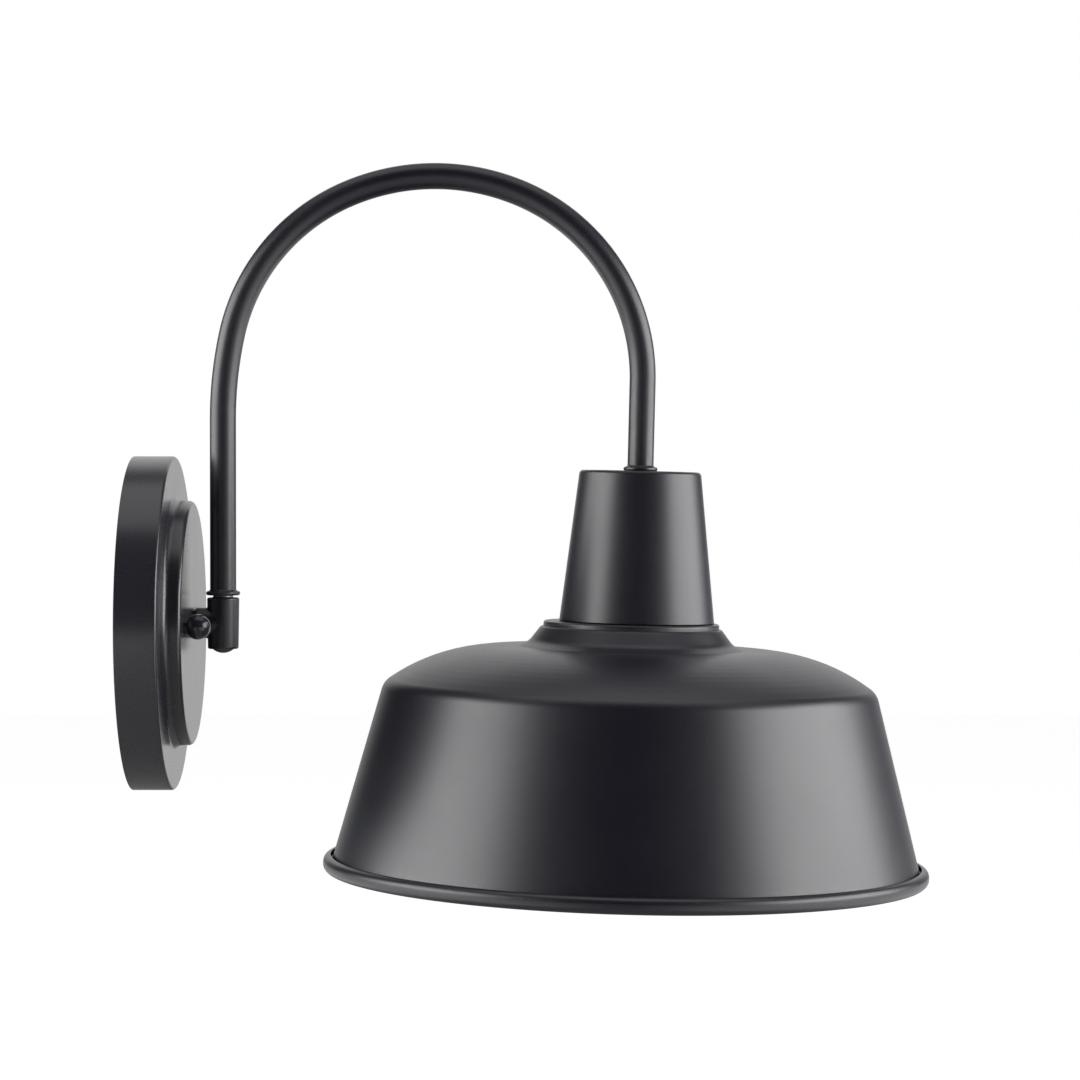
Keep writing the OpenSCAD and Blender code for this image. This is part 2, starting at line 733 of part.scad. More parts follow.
module shade() {
    skirt = [sin(skirt_angle), -cos(skirt_angle)];
    slope = [cos(crown_slope), -sin(crown_slope)];
    foot = [bead_at.x - bead_out, bead_at.y];
    brow = [crown_flat_r + crown_r * tan(crown_slope / 2), -crown_drop];
    corner = meet(brow, slope, foot, skirt);
    path = [[holder_d / 2 + free_fit, shade_top], [flat_ring_d / 2, shade_top],
        [flat_ring_d / 2, -flat_ring_h], [neck_d / 2, -flat_ring_h],
        [flare_d / 2 - cove_in, cove_up - crown_drop], [flare_d / 2, -crown_drop],
        brow, corner, foot];
    radii = [0, flat_ring_edge, 0, neck_edge_r, flare_cove_r, 0, crown_r, corner_r, 0];
    slit_foot = foot + [slit_in, 0] + skirt * slit_up / skirt.y;
    slit_top = foot + [slit_in, 0] + skirt * (lip_rise + bead_d / 2 + cut) / skirt.y;
    color(black_coat)
    at_lamp() difference() {
        union() {
            rotate_extrude() sheet_section(path, radii, sheet_t);
            rim_track(bead_d);
        }
        rim_track(bead_d - 2 * sheet_t);
        rotate_extrude() polygon([slit_foot, slit_foot + [slit_w, 0], slit_top + [slit_w, 0], slit_top]);
    }
}

module rim_wire() { color(black_coat) at_lamp() rim_hoop(rim_wire_d); }

// ---- bulb ----

module bulb_globe() {
    color("#f4f1e8")
    at_lamp() translate([0, 0, globe_z]) difference() {
        sphere(d = globe_d);
        sphere(d = globe_d - 2 * globe_wall);
        translate([0, 0, globe_cut]) cylinder(d = globe_d, h = globe_d / 2);
    }
}

module bulb_housing() {
    joint = globe_z + globe_cut;
    plug = cap_in - close_fit;
    color("#e4e4e2")
    at_lamp() rotate_extrude() polygon(concat([[0, cap_foot + 8], [plug, cap_foot + 8], [plug, cap_foot]],
        rounded([[cap_crest + 0.7, cap_foot], [cap_crest + 1, cap_foot - 10], [globe_seat_r + 0.8, joint]],
            [0, 40, 0]), [[0, joint]]));
}

module led_board() {
    color("#d9dcd6")
    at_lamp() translate([0, 0, globe_z + globe_cut - 1.6]) cylinder(r = globe_seat_r - 4, h = 1.6);
}

module bulb_cap() {
    color(zinc)
    at_lamp() rotate_extrude() polygon(concat([[cap_in, cap_top], [cap_in, cap_foot], [cap_groove, cap_foot]],
        thread_rings(cap_crest, cap_groove, cap_foot, cap_top), [[cap_groove, cap_top]]));
}

module bulb_insulator() {
    plug = cap_in - close_fit;
    color("#26262a")
    at_lamp() rotate_extrude() polygon([[0, cap_top - 4], [plug, cap_top - 4], [plug, cap_top],
        [cap_groove - 1, cap_top + 0.4], [5, bulb_top - contact_t], [0, bulb_top - contact_t]]);
}

module bulb_contact() {
    color(zinc)
    at_lamp() translate([0, 0, bulb_top - contact_t]) cylinder(r1 = 5, r2 = 4, h = contact_t);
}

canopy();
wall_gasket();
mounting_strap();
canopy_studs();
stud_lock_nuts();
ball_nuts();
ground_screw();
elbow();
canopy_nipple();
nipple_washer();
nipple_nut();
elbow_plug();
wall_cable();
cable_cores();
wire_connectors();
swivel_nipple();
swivel_ring();
arm_tube();
arm_cable();
head_nipple();
cup_ring();
socket_cup();
lock_washer();
head_nut();
socket_bracket();
bracket_screws();
lampholder();
screw_shell();
centre_contact();
terminal_screws();
socket_leads();
shade_ring();
shade();
rim_wire();
bulb_globe();
bulb_housing();
led_board();
bulb_cap();
bulb_insulator();
bulb_contact();
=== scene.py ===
"""Gooseneck wall lantern in black powder coat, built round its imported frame."""
import json
from math import atan2, ceil, copysign, cos, pi, radians, sin, sqrt, tan

import bmesh
import bpy
from bpy.props import FloatProperty, FloatVectorProperty, PointerProperty
from bpy.types import Operator, Panel, PropertyGroup
from mathutils import Matrix, Vector


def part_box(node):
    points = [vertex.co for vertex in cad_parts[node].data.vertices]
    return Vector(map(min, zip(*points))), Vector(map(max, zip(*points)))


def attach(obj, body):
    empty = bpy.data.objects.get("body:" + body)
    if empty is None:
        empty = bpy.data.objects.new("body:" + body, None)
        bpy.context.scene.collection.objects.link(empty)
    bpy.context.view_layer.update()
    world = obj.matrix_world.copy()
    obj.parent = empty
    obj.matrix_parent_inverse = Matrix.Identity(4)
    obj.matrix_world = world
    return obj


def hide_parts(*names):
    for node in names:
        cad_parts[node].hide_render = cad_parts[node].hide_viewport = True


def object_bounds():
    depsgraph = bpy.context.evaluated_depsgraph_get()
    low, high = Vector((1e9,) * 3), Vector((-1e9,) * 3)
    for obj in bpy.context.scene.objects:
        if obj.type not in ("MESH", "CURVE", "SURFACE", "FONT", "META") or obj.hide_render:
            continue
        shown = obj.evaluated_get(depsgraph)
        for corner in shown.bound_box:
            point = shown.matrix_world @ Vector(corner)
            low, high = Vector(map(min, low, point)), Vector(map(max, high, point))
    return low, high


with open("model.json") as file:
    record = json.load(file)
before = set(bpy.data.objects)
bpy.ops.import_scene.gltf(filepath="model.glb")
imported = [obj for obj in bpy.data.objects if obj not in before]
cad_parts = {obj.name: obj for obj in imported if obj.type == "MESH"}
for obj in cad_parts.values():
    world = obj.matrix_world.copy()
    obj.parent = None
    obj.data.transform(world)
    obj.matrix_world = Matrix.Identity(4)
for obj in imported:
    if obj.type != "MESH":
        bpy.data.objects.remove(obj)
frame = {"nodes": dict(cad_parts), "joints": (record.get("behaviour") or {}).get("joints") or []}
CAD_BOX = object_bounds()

bl_info = {
    "name": "Gooseneck Wall Lantern",
    "version": (1, 0, 0),
    "blender": (4, 5, 0),
    "location": "3D View > Sidebar > Lantern",
    "description": "Builds the finished pieces of a gooseneck wall lantern on its frame",
    "category": "Add Mesh",
}

MM = 0.001


# ---- places, read from the frame ----

def middle(node):
    """Middle of a frame node's box."""
    low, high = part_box(node)
    return (low + high) / 2


JOINTS = {joint["name"]: joint for joint in frame["joints"]}
LAMP_UP = -Vector(JOINTS["bulb_unscrew"]["axis"])
LEAN = atan2(-LAMP_UP.y, LAMP_UP.z)
BARREL_AXIS = Vector(JOINTS["arm_swivel"]["pos_m"])
FOOT_RING_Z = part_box("swivel_ring")[0].z

AT_WALL = Matrix.Rotation(pi / 2, 4, "X")
AT_BARREL = Matrix.Translation((0, BARREL_AXIS.y, 0))
AT_FOOT_RING = Matrix.Translation((0, BARREL_AXIS.y, FOOT_RING_Z))


def tilted(origin):
    """Place of a piece that stands along the lamp's axis."""
    return Matrix.Translation(origin) @ Matrix.Rotation(LEAN, 4, "X")


# ---- sizes and colours that a user would change ----

def length(name, value, text):
    """A size, given in millimetres."""
    return FloatProperty(name=name, description=text, default=value * MM, min=0, unit="LENGTH",
                         precision=4)


def angle(name, value, text):
    """An angle, given in degrees."""
    return FloatProperty(name=name, description=text, default=radians(value), unit="ROTATION")


def colour(name, value, text):
    """A colour in linear light."""
    return FloatVectorProperty(name=name, description=text, default=value, subtype="COLOR",
                               min=0, max=1)


class CanopySizes(PropertyGroup):
    """Moulded canopy and its ball nuts."""
    outer_d: length("Canopy diameter", 166, "Diameter of the canopy at the wall")
    rim_depth: length("Rim depth", 20.4, "Depth of the canopy's outer drum from the wall")
    wall: length("Casting wall", 1.6, "Wall of the canopy casting")
    drum_d: length("Drum diameter", 121.6, "Diameter of the raised inner drum")
    drum_rise: length("Drum rise", 9, "Height of the raised drum above the outer drum")
    rim_edge: length("Rim edge", 1.5, "Rounding of the outer drum's edge")
    drum_edge: length("Drum edge", 2.2, "Rounding of the raised drum's edge")
    cove: length("Cove", 3.4, "Radius of the cove at the raised drum's foot")
    hole_d: length("Nipple hole", 11, "Hole for the nipple")
    stud_hole_d: length("Stud hole", 4.6, "Holes for the two studs")
    ball_spacing: length("Ball spacing", 88.9, "Distance between the two ball nuts")
    ball_d: length("Ball diameter", 12.4, "Diameter of a ball nut")
    ball_stand: length("Ball stand-off", 6.6, "Centre of a ball nut above the canopy's face")


class ElbowSizes(PropertyGroup):
    """Cast elbow, its plug and the bead rings."""
    neck_d: length("Neck diameter", 15.1, "Diameter of the neck from the canopy")
    neck_edge: length("Neck bevel", 1.5, "Bevel where the neck meets the canopy")
    top_d: length("Barrel top", 16, "Diameter of the barrel at its top")
    foot_d: length("Barrel foot", 15.3, "Diameter of the barrel at its foot")
    bore_d: length("Thread bore", 10.4, "Bore for the lamp thread")
    weld: length("Weld", 1.0, "Softness of the saddle between neck and barrel")
    plug_rise: length("Plug rise", 2.1, "How far the domed plug stands out")
    ring_d: length("Ring diameter", 16.9, "Outer diameter of a bead ring")
    ring_t: length("Ring thickness", 2.1, "Thickness of a bead ring")
    ring_bore: length("Ring bore", 13.1, "Bore of a bead ring")


class ArmSizes(PropertyGroup):
    """Bent tube of the gooseneck."""
    tube_d: length("Tube diameter", 13, "Outer diameter of the tube")
    tube_wall: length("Tube wall", 1.3, "Wall of the tube")
    leg: length("Leg", 87.5, "Straight rise before the first bend")
    ease_r: length("Ease radius", 199, "Radius of the easy bend above the foot")
    ease: angle("Ease angle", 12.2, "Angle of the easy bend")
    shoulder_r: length("Shoulder radius", 98.8, "Radius of the arch's two shoulders")
    shoulder: angle("Foot shoulder", 54.4, "Angle of the shoulder over the foot")
    crown_r: length("Crown radius", 110.2, "Radius of the arch's crown")
    crown: angle("Crown angle", 46.6, "Angle of the crown")
    lamp_shoulder: angle("Lamp shoulder", 68.2, "Angle of the shoulder over the lamp")
    drop: length("Drop", 44.5, "Straight drop from the last bend to the cup")


class LampSizes(PropertyGroup):
    """Socket cup and spun shade."""
    cup_h: length("Cup height", 75, "Height of the socket cup")
    cup_top_d: length("Cup top", 60.4, "Diameter of the cup at its top")
    cup_foot_d: length("Cup foot", 77.2, "Diameter of the cup at its foot")
    cup_wall: length("Cup wall", 1.2, "Wall of the cup")
    cup_edge: length("Cup edge", 2, "Rounding of the cup's top edge")
    shade_d: length("Shade diameter", 301, "Outer diameter over the rim bead")
    shade_depth: length("Shade depth", 123.1, "From the cup's foot to the rim bead's middle")
    sheet: length("Sheet", 1, "Thickness of the shade's sheet")
    bead_d: length("Bead diameter", 6.8, "Diameter of the curled rim bead")
    bead_out: length("Bead stand-off", 0.6, "Bead's middle outside the skirt's face")
    lip_rise: length("Lip rise", 1.2, "Upright stretch of the bead's outer wall")
    slit: length("Slit", 1.6, "Slit between the skirt and the bead's free edge")
    skirt: angle("Skirt slope", 14.8, "Slope of the skirt away from the lamp's axis")
    corner_r: length("Corner radius", 10, "Corner between skirt and crown")
    crown_drop: length("Crown drop", 13.1, "Crown's flat top below the cup's foot")
    crown_flat_r: length("Crown start", 64.8, "Radius at which the crown starts to fall")
    crown_r: length("Crown radius", 94.7, "Radius of the crown's curve")
    crown_slope: angle("Crown slope", 35.5, "Slope of the crown where it meets the corner")
    neck_d: length("Neck diameter", 90, "Diameter of the neck at its shoulder")
    neck_edge: length("Neck edge", 1.6, "Rounding of the neck's shoulder")
    flare_d: length("Flare diameter", 112.8, "Diameter of the flared neck on the crown")
    cove_in: length("Cove inset", 5.6, "From the flare's foot in to the corner of its cove")
    cove_up: length("Cove height", 2.4, "From the crown's top up to that corner")
    cove_r: length("Cove radius", 8, "Radius of the flare's cove")
    flat_d: length("Flat ring diameter", 87.6, "Diameter of the flat ring under the cup")
    flat_edge: length("Flat ring edge", 1.2, "Rounding of the flat ring's edge")
    flat_h: length("Flat ring height", 3, "Height of the flat ring above the neck")
    hole_d: length("Holder hole", 39, "Hole for the lampholder's skirt")
    seat: length("Seat gap", 0.3, "Gap between the cup's foot and the shade")
    lamp_shift: length("Lamp shift", 2.6, "How far the lamp sits from the cup's axis")


class Finishes(PropertyGroup):
    """Colours and grain of the finishes."""
    coat: colour("Black coat", (0.0018, 0.0021, 0.0105), "Powder coat in its hollows")
    coat_light: colour("Coat crest", (0.0034, 0.0038, 0.013), "Powder coat on its crests")
    # The canopy's black is the same paint as the black coat above, made many times lighter. That
    # lift is painted light on the canopy and the ball nuts.
    cast: colour("Cast coat", (0.0265, 0.0257, 0.0355), "Powder coat on the canopy, in its hollows")
    canopy_crest_lit: colour("Cast crest", (0.0295, 0.0287, 0.0385),
                       "Powder coat on the canopy, on its crests")
    coat_worn: colour("Coat edge", (0.026, 0.026, 0.028), "Powder coat where it thins at edges")
    plug: colour("Plug grey", (0.055, 0.055, 0.059), "Domed plug under the elbow")
    zinc: colour("Zinc", (0.50, 0.51, 0.53), "Zinc plated steel")
    brass: colour("Brass", (0.70, 0.50, 0.21), "Lampholder's brass")
    porcelain: colour("Porcelain", (0.80, 0.78, 0.72), "Glazed lampholder")
    rubber: colour("Rubber", (0.022, 0.022, 0.024), "Gasket and cable jacket")
    plastic: colour("Moulded black", (0.030, 0.030, 0.032), "Threaded ring and small mouldings")
    connector: colour("Connector orange", (0.58, 0.16, 0.04), "Wire connectors")
    ground: colour("Ground green", (0.05, 0.26, 0.10), "Ground screw and ground core")
    opal: colour("Opal", (0.84, 0.83, 0.79), "Bulb's diffuser")
    bulb_white: colour("Bulb white", (0.76, 0.76, 0.74), "Bulb's housing")
    grain: length("Grain size", 1.1, "Size of the powder coat's orange peel")


# ---- half sections: points of (radius, height) ----

ARC_STEP = radians(3)


def arc_points(centre, radius, first, last, steps):
    """Points on a circle from the first angle to the last."""
    stops = [first + (last - first) * k / steps for k in range(steps + 1)]
    return [centre + radius * Vector((cos(at), sin(at))) for at in stops]


def corner_arc(before, corner, after, radius):
    """Points of the arc that rounds a corner between its two neighbours."""
    back, on = (before - corner).normalized(), (after - corner).normalized()
    half = back.angle(on) / 2
    centre = corner + (back + on).normalized() * radius / sin(half)
    start = corner + back * radius / tan(half) - centre
    end = corner + on * radius / tan(half) - centre
    first = atan2(start.y, start.x)
    turn = copysign(pi - 2 * half, start.x * end.y - start.y * end.x)
    steps = max(4, ceil(abs(turn) / ARC_STEP))
    return arc_points(centre, radius, first, first + turn, steps)


def rounded(points, radii):
    """A closed section with its corners rounded; a radius of 0 keeps a corner sharp."""
    loop = []
    for i, radius in enumerate(radii):
        corner = points[i]
        loop += ([corner] if radius <= 0 else
                 corner_arc(points[i - 1], corner, points[(i + 1) % len(points)], radius))
    return loop


def crossing(p, d, q, e):
    """Where the line through p along d meets the line through q along e."""
    return p + d * (q - p).cross(e) / d.cross(e)


def heading(p, q):
    return (q - p).normalized()


def to_right(d):
    return Vector((d.y, -d.x))


def moved(path, by):
    """An open path moved to its right; its last point stays at its own height."""
    last = len(path) - 1
    out = []
    for i, point in enumerate(path):
        d = heading(path[max(i - 1, 0)], path[max(i, 1)])
        e = heading(path[min(i, last - 1)], path[min(i + 1, last)])
        a, b = point + by * to_right(d), point + by * to_right(e)
        if i == 0:
            out.append(b)
        elif i == last:
            out.append(crossing(a, d, point, Vector((1, 0))))
        else:
            out.append(crossing(a, d, b, e))
    return out


def inner_radii(path, radii, by):
    """Bend radii of a path moved to its right."""
    out = []
    for i, radius in enumerate(radii):
        if radius <= 0:
            out.append(0)
            continue
        turn = (path[i] - path[i - 1]).cross(path[i + 1] - path[i])
        out.append(max(radius - by, 0) if turn < 0 else radius + by)
    return out


def sheet_loop(path, radii, thickness, lip):
    """Closed section of a sheet inside a path, with its two ends rounded by lip."""
    inside = moved(path, thickness)
    inside_radii = inner_radii(path, radii, thickness)
    outer = [lip] + radii[1:-1] + [lip]
    inner = [lip] + inside_radii[1:-1] + [lip]
    return rounded(path + inside[::-1], outer + inner[::-1])


def finer(loop, edge=0.6 * MM, span=5 * MM, closed=True):
    """The same section with extra points beside its corners and along its flats."""
    out = []
    for i, a in enumerate(loop):
        out.append(a)
        if i == len(loop) - 1 and not closed:
            break
        b = loop[(i + 1) % len(loop)]
        reach = (b - a).length
        if reach < 3 * edge:
            continue
        run = heading(a, b)
        inner = max(1, ceil((reach - 2 * edge) / span))
        out += [a + run * (edge + (reach - 2 * edge) * k / inner) for k in range(inner + 1)]
    return out


def points(*pairs):
    return [Vector(pair) for pair in pairs]


# ---- meshes ----

ON_AXIS = 1e-7  # a point nearer to the axis than this lies on it


def new_piece(name, mesh):
    piece = bpy.data.objects.new(name, mesh)
    bpy.context.scene.collection.objects.link(piece)
    return piece


def lathe(name, loop, place, sides=192, closed=True):
    """A half section turned round the place's Z axis. An open one starts and ends on the axis."""
    shape = bmesh.new()
    rings = []
    for point in loop:
        if point.x < ON_AXIS:
            rings.append([shape.verts.new((0, 0, point.y))] * sides)
        else:
            rings.append([shape.verts.new((point.x * cos(2 * pi * k / sides),
                                           point.x * sin(2 * pi * k / sides), point.y))
                          for k in range(sides)])
    for i in range(len(rings) if closed else len(rings) - 1):
        a, b = rings[i], rings[(i + 1) % len(rings)]
        for k in range(sides):
            j = (k + 1) % sides
            corners = []
            for vert in (a[k], b[k], b[j], a[j]):
                if vert not in corners:
                    corners.append(vert)
            if len(corners) > 2:
                shape.faces.new(corners)
    bmesh.ops.recalc_face_normals(shape, faces=shape.faces)
    mesh = bpy.data.meshes.new(name)
    shape.to_mesh(mesh)
    shape.free()
    mesh.transform(place)
    return new_piece(name, mesh)


def settled(piece):
    """The piece with its modifiers applied, as a plain mesh."""
    evaluated = piece.evaluated_get(bpy.context.evaluated_depsgraph_get())
    mesh = bpy.data.meshes.new_from_object(evaluated)
    mesh.name = piece.name
    if piece.type != "MESH":
        name = piece.name
        bpy.data.objects.remove(piece)
        return new_piece(name, mesh)
    piece.modifiers.clear()
    piece.data = mesh
    return piece


def drilled(piece, *holes):
    """The piece with holes cut through it. A hole is (place, radius, from, to) along its Z axis."""
    cutters = []
    for place, radius, low, high in holes:
        loop = points((0, low), (radius, low), (radius, high), (0, high))
        cutter = lathe("cutter", loop, place, sides=96, closed=False)
        cutters.append(cutter)
        cut = piece.modifiers.new("hole", "BOOLEAN")
        cut.operation, cut.object, cut.solver = "DIFFERENCE", cutter, "EXACT"
    settled(piece)
    for cutter in cutters:
        bpy.data.objects.remove(cutter)
    return piece


def joined(first, *others):
    """The first piece with the others' meshes added to its own."""
    shape = bmesh.new()
    for piece in (first, *others):
        shape.from_mesh(piece.data)
    shape.to_mesh(first.data)
    shape.free()
    for piece in others:
        bpy.data.objects.remove(piece)
    return first


def mark_edges(piece, soft=250.0, sharp=700.0):
    """Stores how tightly each convex edge turns, from 0 at the soft to 1 at the sharp limit.

    Both limits are curvatures, in radians per metre."""
    shape = bmesh.new()
    shape.from_mesh(piece.data)
    shape.normal_update()
    tight = []
    for vert in shape.verts:
        bends = [0.0]
        for edge in vert.link_edges:
            other = edge.other_vert(vert)
            gap = vert.co - other.co
            if gap.length_squared > 1e-12:
                bends.append((vert.normal - other.normal).dot(gap) / gap.length_squared)
        tight.append(min(1.0, max(0.0, (max(bends) - soft) / (sharp - soft))))
    shape.free()
    layers = piece.data.attributes
    stored = layers.get("edge") or layers.new("edge", "FLOAT", "POINT")
    stored.data.foreach_set("value", tight)


def finish_piece(piece, material, body, slot, *nodes, crease=40):
    """Gives a piece its material, its smooth faces, its body and the nodes that it stands for."""
    mesh = piece.data
    mesh.materials.clear()
    mesh.materials.append(material)
    mesh.polygons.foreach_set("use_smooth", [True] * len(mesh.polygons))
    mesh.set_sharp_from_angle(angle=radians(crease))
    mark_edges(piece)
    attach(piece, body)
    if nodes:
        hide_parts(*nodes)
    return piece


# ---- node trees ----

def add(tree, kind, values=None, **options):
    """A node with its options set, and its sockets set or linked by name or number."""
    made = tree.nodes.new(kind)
    for name, value in options.items():
        setattr(made, name, value)
    for key, value in (values or {}).items():
        socket = made.inputs[key]
        if isinstance(value, bpy.types.NodeSocket):
            tree.links.new(value, socket)
        else:
            socket.default_value = value
    return made


def new_tree(name, kind, inputs, outputs):
    """An empty node group, with sockets of (label, type, default), and its two end nodes."""
    tree = bpy.data.node_groups.new(name, kind)
    for direction, sockets in (("INPUT", inputs), ("OUTPUT", outputs)):
        for label, sort, *default in sockets:
            socket = tree.interface.new_socket(label, in_out=direction,
                                               socket_type="NodeSocket" + sort)
            if default:
                socket.default_value = default[0]
    return tree, tree.nodes.new("NodeGroupInput").outputs, tree.nodes.new("NodeGroupOutput").inputs


def maths(tree, operation, *values, **options):
    """The result of a math node on values or sockets."""
    made = add(tree, "ShaderNodeMath", dict(enumerate(values)), operation=operation, **options)
    return made.outputs[0]


def product(tree, first, second):
    return maths(tree, "MULTIPLY", first, second)


def larger(tree, first, second):
    return maths(tree, "MAXIMUM", first, second)


def mapped(tree, value, low, high, **options):
    """0 at the low value and 1 at the high one."""
    return add(tree, "ShaderNodeMapRange", {"Value": value, "From Min": low, "From Max": high},
               **options).outputs[0]


def mix_colours(tree, share, first, second, **options):
    return add(tree, "ShaderNodeMix", {0: share, 6: first, 7: second}, data_type="RGBA",
               **options).outputs[2]


def mix_numbers(tree, share, first, second):
    return add(tree, "ShaderNodeMix", {0: share, 2: first, 3: second}).outputs[0]


def noise(tree, place, size, detail, roughness):
    """Noise whose blotches have a given size."""
    return add(tree, "ShaderNodeTexNoise",
               {"Vector": place, "Scale": maths(tree, "DIVIDE", 1.0, size), "Detail": detail,
                "Roughness": roughness}).outputs["Fac"]


def send(tree, out, **results):
    """Links results to a group's outputs by name."""
    for label, socket in results.items():
        tree.links.new(socket, out[label])
    return tree


def finished(tree, shape, material):
    """A shape as one real mesh with its material."""
    real = add(tree, "GeometryNodeRealizeInstances", {"Geometry": shape})
    return add(tree, "GeometryNodeSetMaterial",
               {"Geometry": real.outputs[0], "Material": material}).outputs[0]


def with_tree(piece, tree, **values):
    """Puts a geometry tree on a piece, with its inputs set by their identifiers."""
    modifier = piece.modifiers.new(tree.name, "NODES")
    modifier.node_group = tree
    for item in tree.interface.items_tree:
        if item.in_out == "INPUT" and item.name in values:
            modifier[item.identifier] = values[item.name]
    return piece


def nut_pair_tree():
    """Two copies of the incoming piece on a line along X."""
    tree, into, out = new_tree("ball_nut_pair", "GeometryNodeTree",
                               [("Nut", "Geometry"), ("Spacing", "Float", 0.0889),
                                ("Finish", "Material")],
                               [("Nuts", "Geometry")])
    start = add(tree, "ShaderNodeCombineXYZ", {"X": product(tree, into["Spacing"], -0.5)})
    step = add(tree, "ShaderNodeCombineXYZ", {"X": into["Spacing"]})
    line = add(tree, "GeometryNodeMeshLine",
               {"Count": 2, "Start Location": start.outputs[0], "Offset": step.outputs[0]})
    copies = add(tree, "GeometryNodeInstanceOnPoints",
                 {"Points": line.outputs[0], "Instance": into["Nut"]})
    return send(tree, out, Nuts=finished(tree, copies.outputs[0], into["Finish"]))


def tube_tree():
    """A round skin swept along the incoming line."""
    tree, into, out = new_tree("swept_tube", "GeometryNodeTree",
                               [("Line", "Geometry"), ("Radius", "Float", 0.0065),
                                ("Sides", "Int", 64), ("Finish", "Material")],
                               [("Tube", "Geometry")])
    ring = add(tree, "GeometryNodeCurvePrimitiveCircle",
               {"Resolution": into["Sides"], "Radius": into["Radius"]})
    skin = add(tree, "GeometryNodeCurveToMesh",
               {"Curve": into["Line"], "Profile Curve": ring.outputs[0]})
    return send(tree, out, Tube=finished(tree, skin.outputs[0], into["Finish"]))


def thread_tree():
    """A threaded rod from the origin up: its incoming core and a ridge wound round it."""
    tree, into, out = new_tree("wound_thread", "GeometryNodeTree",
                               [("Core", "Geometry"), ("Radius", "Float", 0.005),
                                ("Ridge", "Float", 0.0003), ("Length", "Float", 0.02),
                                ("Pitch", "Float", 0.0014), ("Finish", "Material")],
                               [("Rod", "Geometry")])
    centre = maths(tree, "SUBTRACT", into["Radius"], into["Ridge"])
    run = maths(tree, "SUBTRACT", into["Length"], into["Ridge"])
    run = maths(tree, "SUBTRACT", run, into["Ridge"])
    wound = add(tree, "GeometryNodeCurveSpiral",
                {"Resolution": 48, "Rotations": maths(tree, "DIVIDE", run, into["Pitch"]),
                 "Start Radius": centre, "End Radius": centre, "Height": run})
    ridge = add(tree, "GeometryNodeCurvePrimitiveCircle",
                {"Resolution": 6, "Radius": into["Ridge"]})
    skin = add(tree, "GeometryNodeCurveToMesh",
               {"Curve": wound.outputs[0], "Profile Curve": ridge.outputs[0], "Fill Caps": True})
    lift = add(tree, "ShaderNodeCombineXYZ", {"Z": into["Ridge"]})
    lifted = add(tree, "GeometryNodeTransform",
                 {"Geometry": skin.outputs[0], "Translation": lift.outputs[0]})
    both = add(tree, "GeometryNodeJoinGeometry")
    tree.links.new(lifted.outputs[0], both.inputs[0])
    tree.links.new(into["Core"], both.inputs[0])
    return send(tree, out, Rod=finished(tree, both.outputs[0], into["Finish"]))


# ---- shared shader effects ----

def grain_group():
    """Orange peel and slow mottling of a sprayed or moulded skin."""
    tree, into, out = new_tree("skin_grain", "ShaderNodeTree",
                               [("Hollow", "Color", (0.01, 0.01, 0.01, 1)),
                                ("Crest", "Color", (0.02, 0.02, 0.02, 1)),
                                ("Smooth", "Float", 0.3), ("Rough", "Float", 0.4),
                                ("Grain Size", "Float", 0.001), ("Mottle Size", "Float", 0.03)],
                               [("Color", "Color"), ("Roughness", "Float"), ("Height", "Float")])
    place = add(tree, "ShaderNodeTexCoord").outputs["Object"]
    peel = noise(tree, place, into["Grain Size"], 3.0, 0.55)
    mottle = noise(tree, place, into["Mottle Size"], 4.0, 0.6)
    share = product(tree, mapped(tree, peel, 0.35, 0.65), 0.6)
    share = maths(tree, "MULTIPLY_ADD", mapped(tree, mottle, 0.3, 0.7), 0.4, share)
    return send(tree, out, Height=peel,
                Color=mix_colours(tree, share, into["Hollow"], into["Crest"]),
                Roughness=mix_numbers(tree, share, into["Smooth"], into["Rough"]))


def wear_group():
    """Where a finish thins along an edge, broken up into spots."""
    tree, into, out = new_tree("edge_wear", "ShaderNodeTree",
                               [("Color", "Color", (0.01, 0.01, 0.01, 1)),
                                ("Worn Color", "Color", (0.03, 0.03, 0.03, 1)),
                                ("Roughness", "Float", 0.35), ("Worn Roughness", "Float", 0.25),
                                ("Wear", "Float", 0.5), ("Spot Size", "Float", 0.004)],
                               [("Color", "Color"), ("Roughness", "Float"), ("Mask", "Float")])
    place = add(tree, "ShaderNodeTexCoord").outputs["Object"]
    edge = add(tree, "ShaderNodeAttribute", attribute_name="edge").outputs["Fac"]
    broken = mapped(tree, noise(tree, place, into["Spot Size"], 5.0, 0.65), 0.38, 0.62)
    mask = maths(tree, "MULTIPLY", product(tree, edge, broken), into["Wear"], use_clamp=True)
    return send(tree, out, Mask=mask,
                Color=mix_colours(tree, mask, into["Color"], into["Worn Color"]),
                Roughness=mix_numbers(tree, mask, into["Roughness"], into["Worn Roughness"]))


def plate_group():
    """Cloudy bloom and crystals of plated or machined metal."""
    tree, into, out = new_tree("metal_bloom", "ShaderNodeTree",
                               [("Bright", "Color", (0.6, 0.6, 0.6, 1)),
                                ("Dull", "Color", (0.4, 0.4, 0.42, 1)),
                                ("Smooth", "Float", 0.25), ("Rough", "Float", 0.5),
                                ("Bloom Size", "Float", 0.004)],
                               [("Color", "Color"), ("Roughness", "Float"), ("Height", "Float")])
    place = add(tree, "ShaderNodeTexCoord").outputs["Object"]
    cloud = noise(tree, place, into["Bloom Size"], 6.0, 0.7)
    crystals = add(tree, "ShaderNodeTexVoronoi",
                   {"Vector": place, "Scale": maths(tree, "DIVIDE", 1.0, into["Bloom Size"])})
    share = product(tree, crystals.outputs["Distance"], 0.35)
    share = mapped(tree, maths(tree, "MULTIPLY_ADD", cloud, 0.8, share), 0.3, 0.8)
    return send(tree, out, Height=cloud,
                Color=mix_colours(tree, share, into["Bright"], into["Dull"]),
                Roughness=mix_numbers(tree, share, into["Smooth"], into["Rough"]))


def shared(maker):
    """The node group that a maker builds, built once."""
    name = maker.__name__
    if name not in SHARED:
        SHARED[name] = maker()
    return SHARED[name]


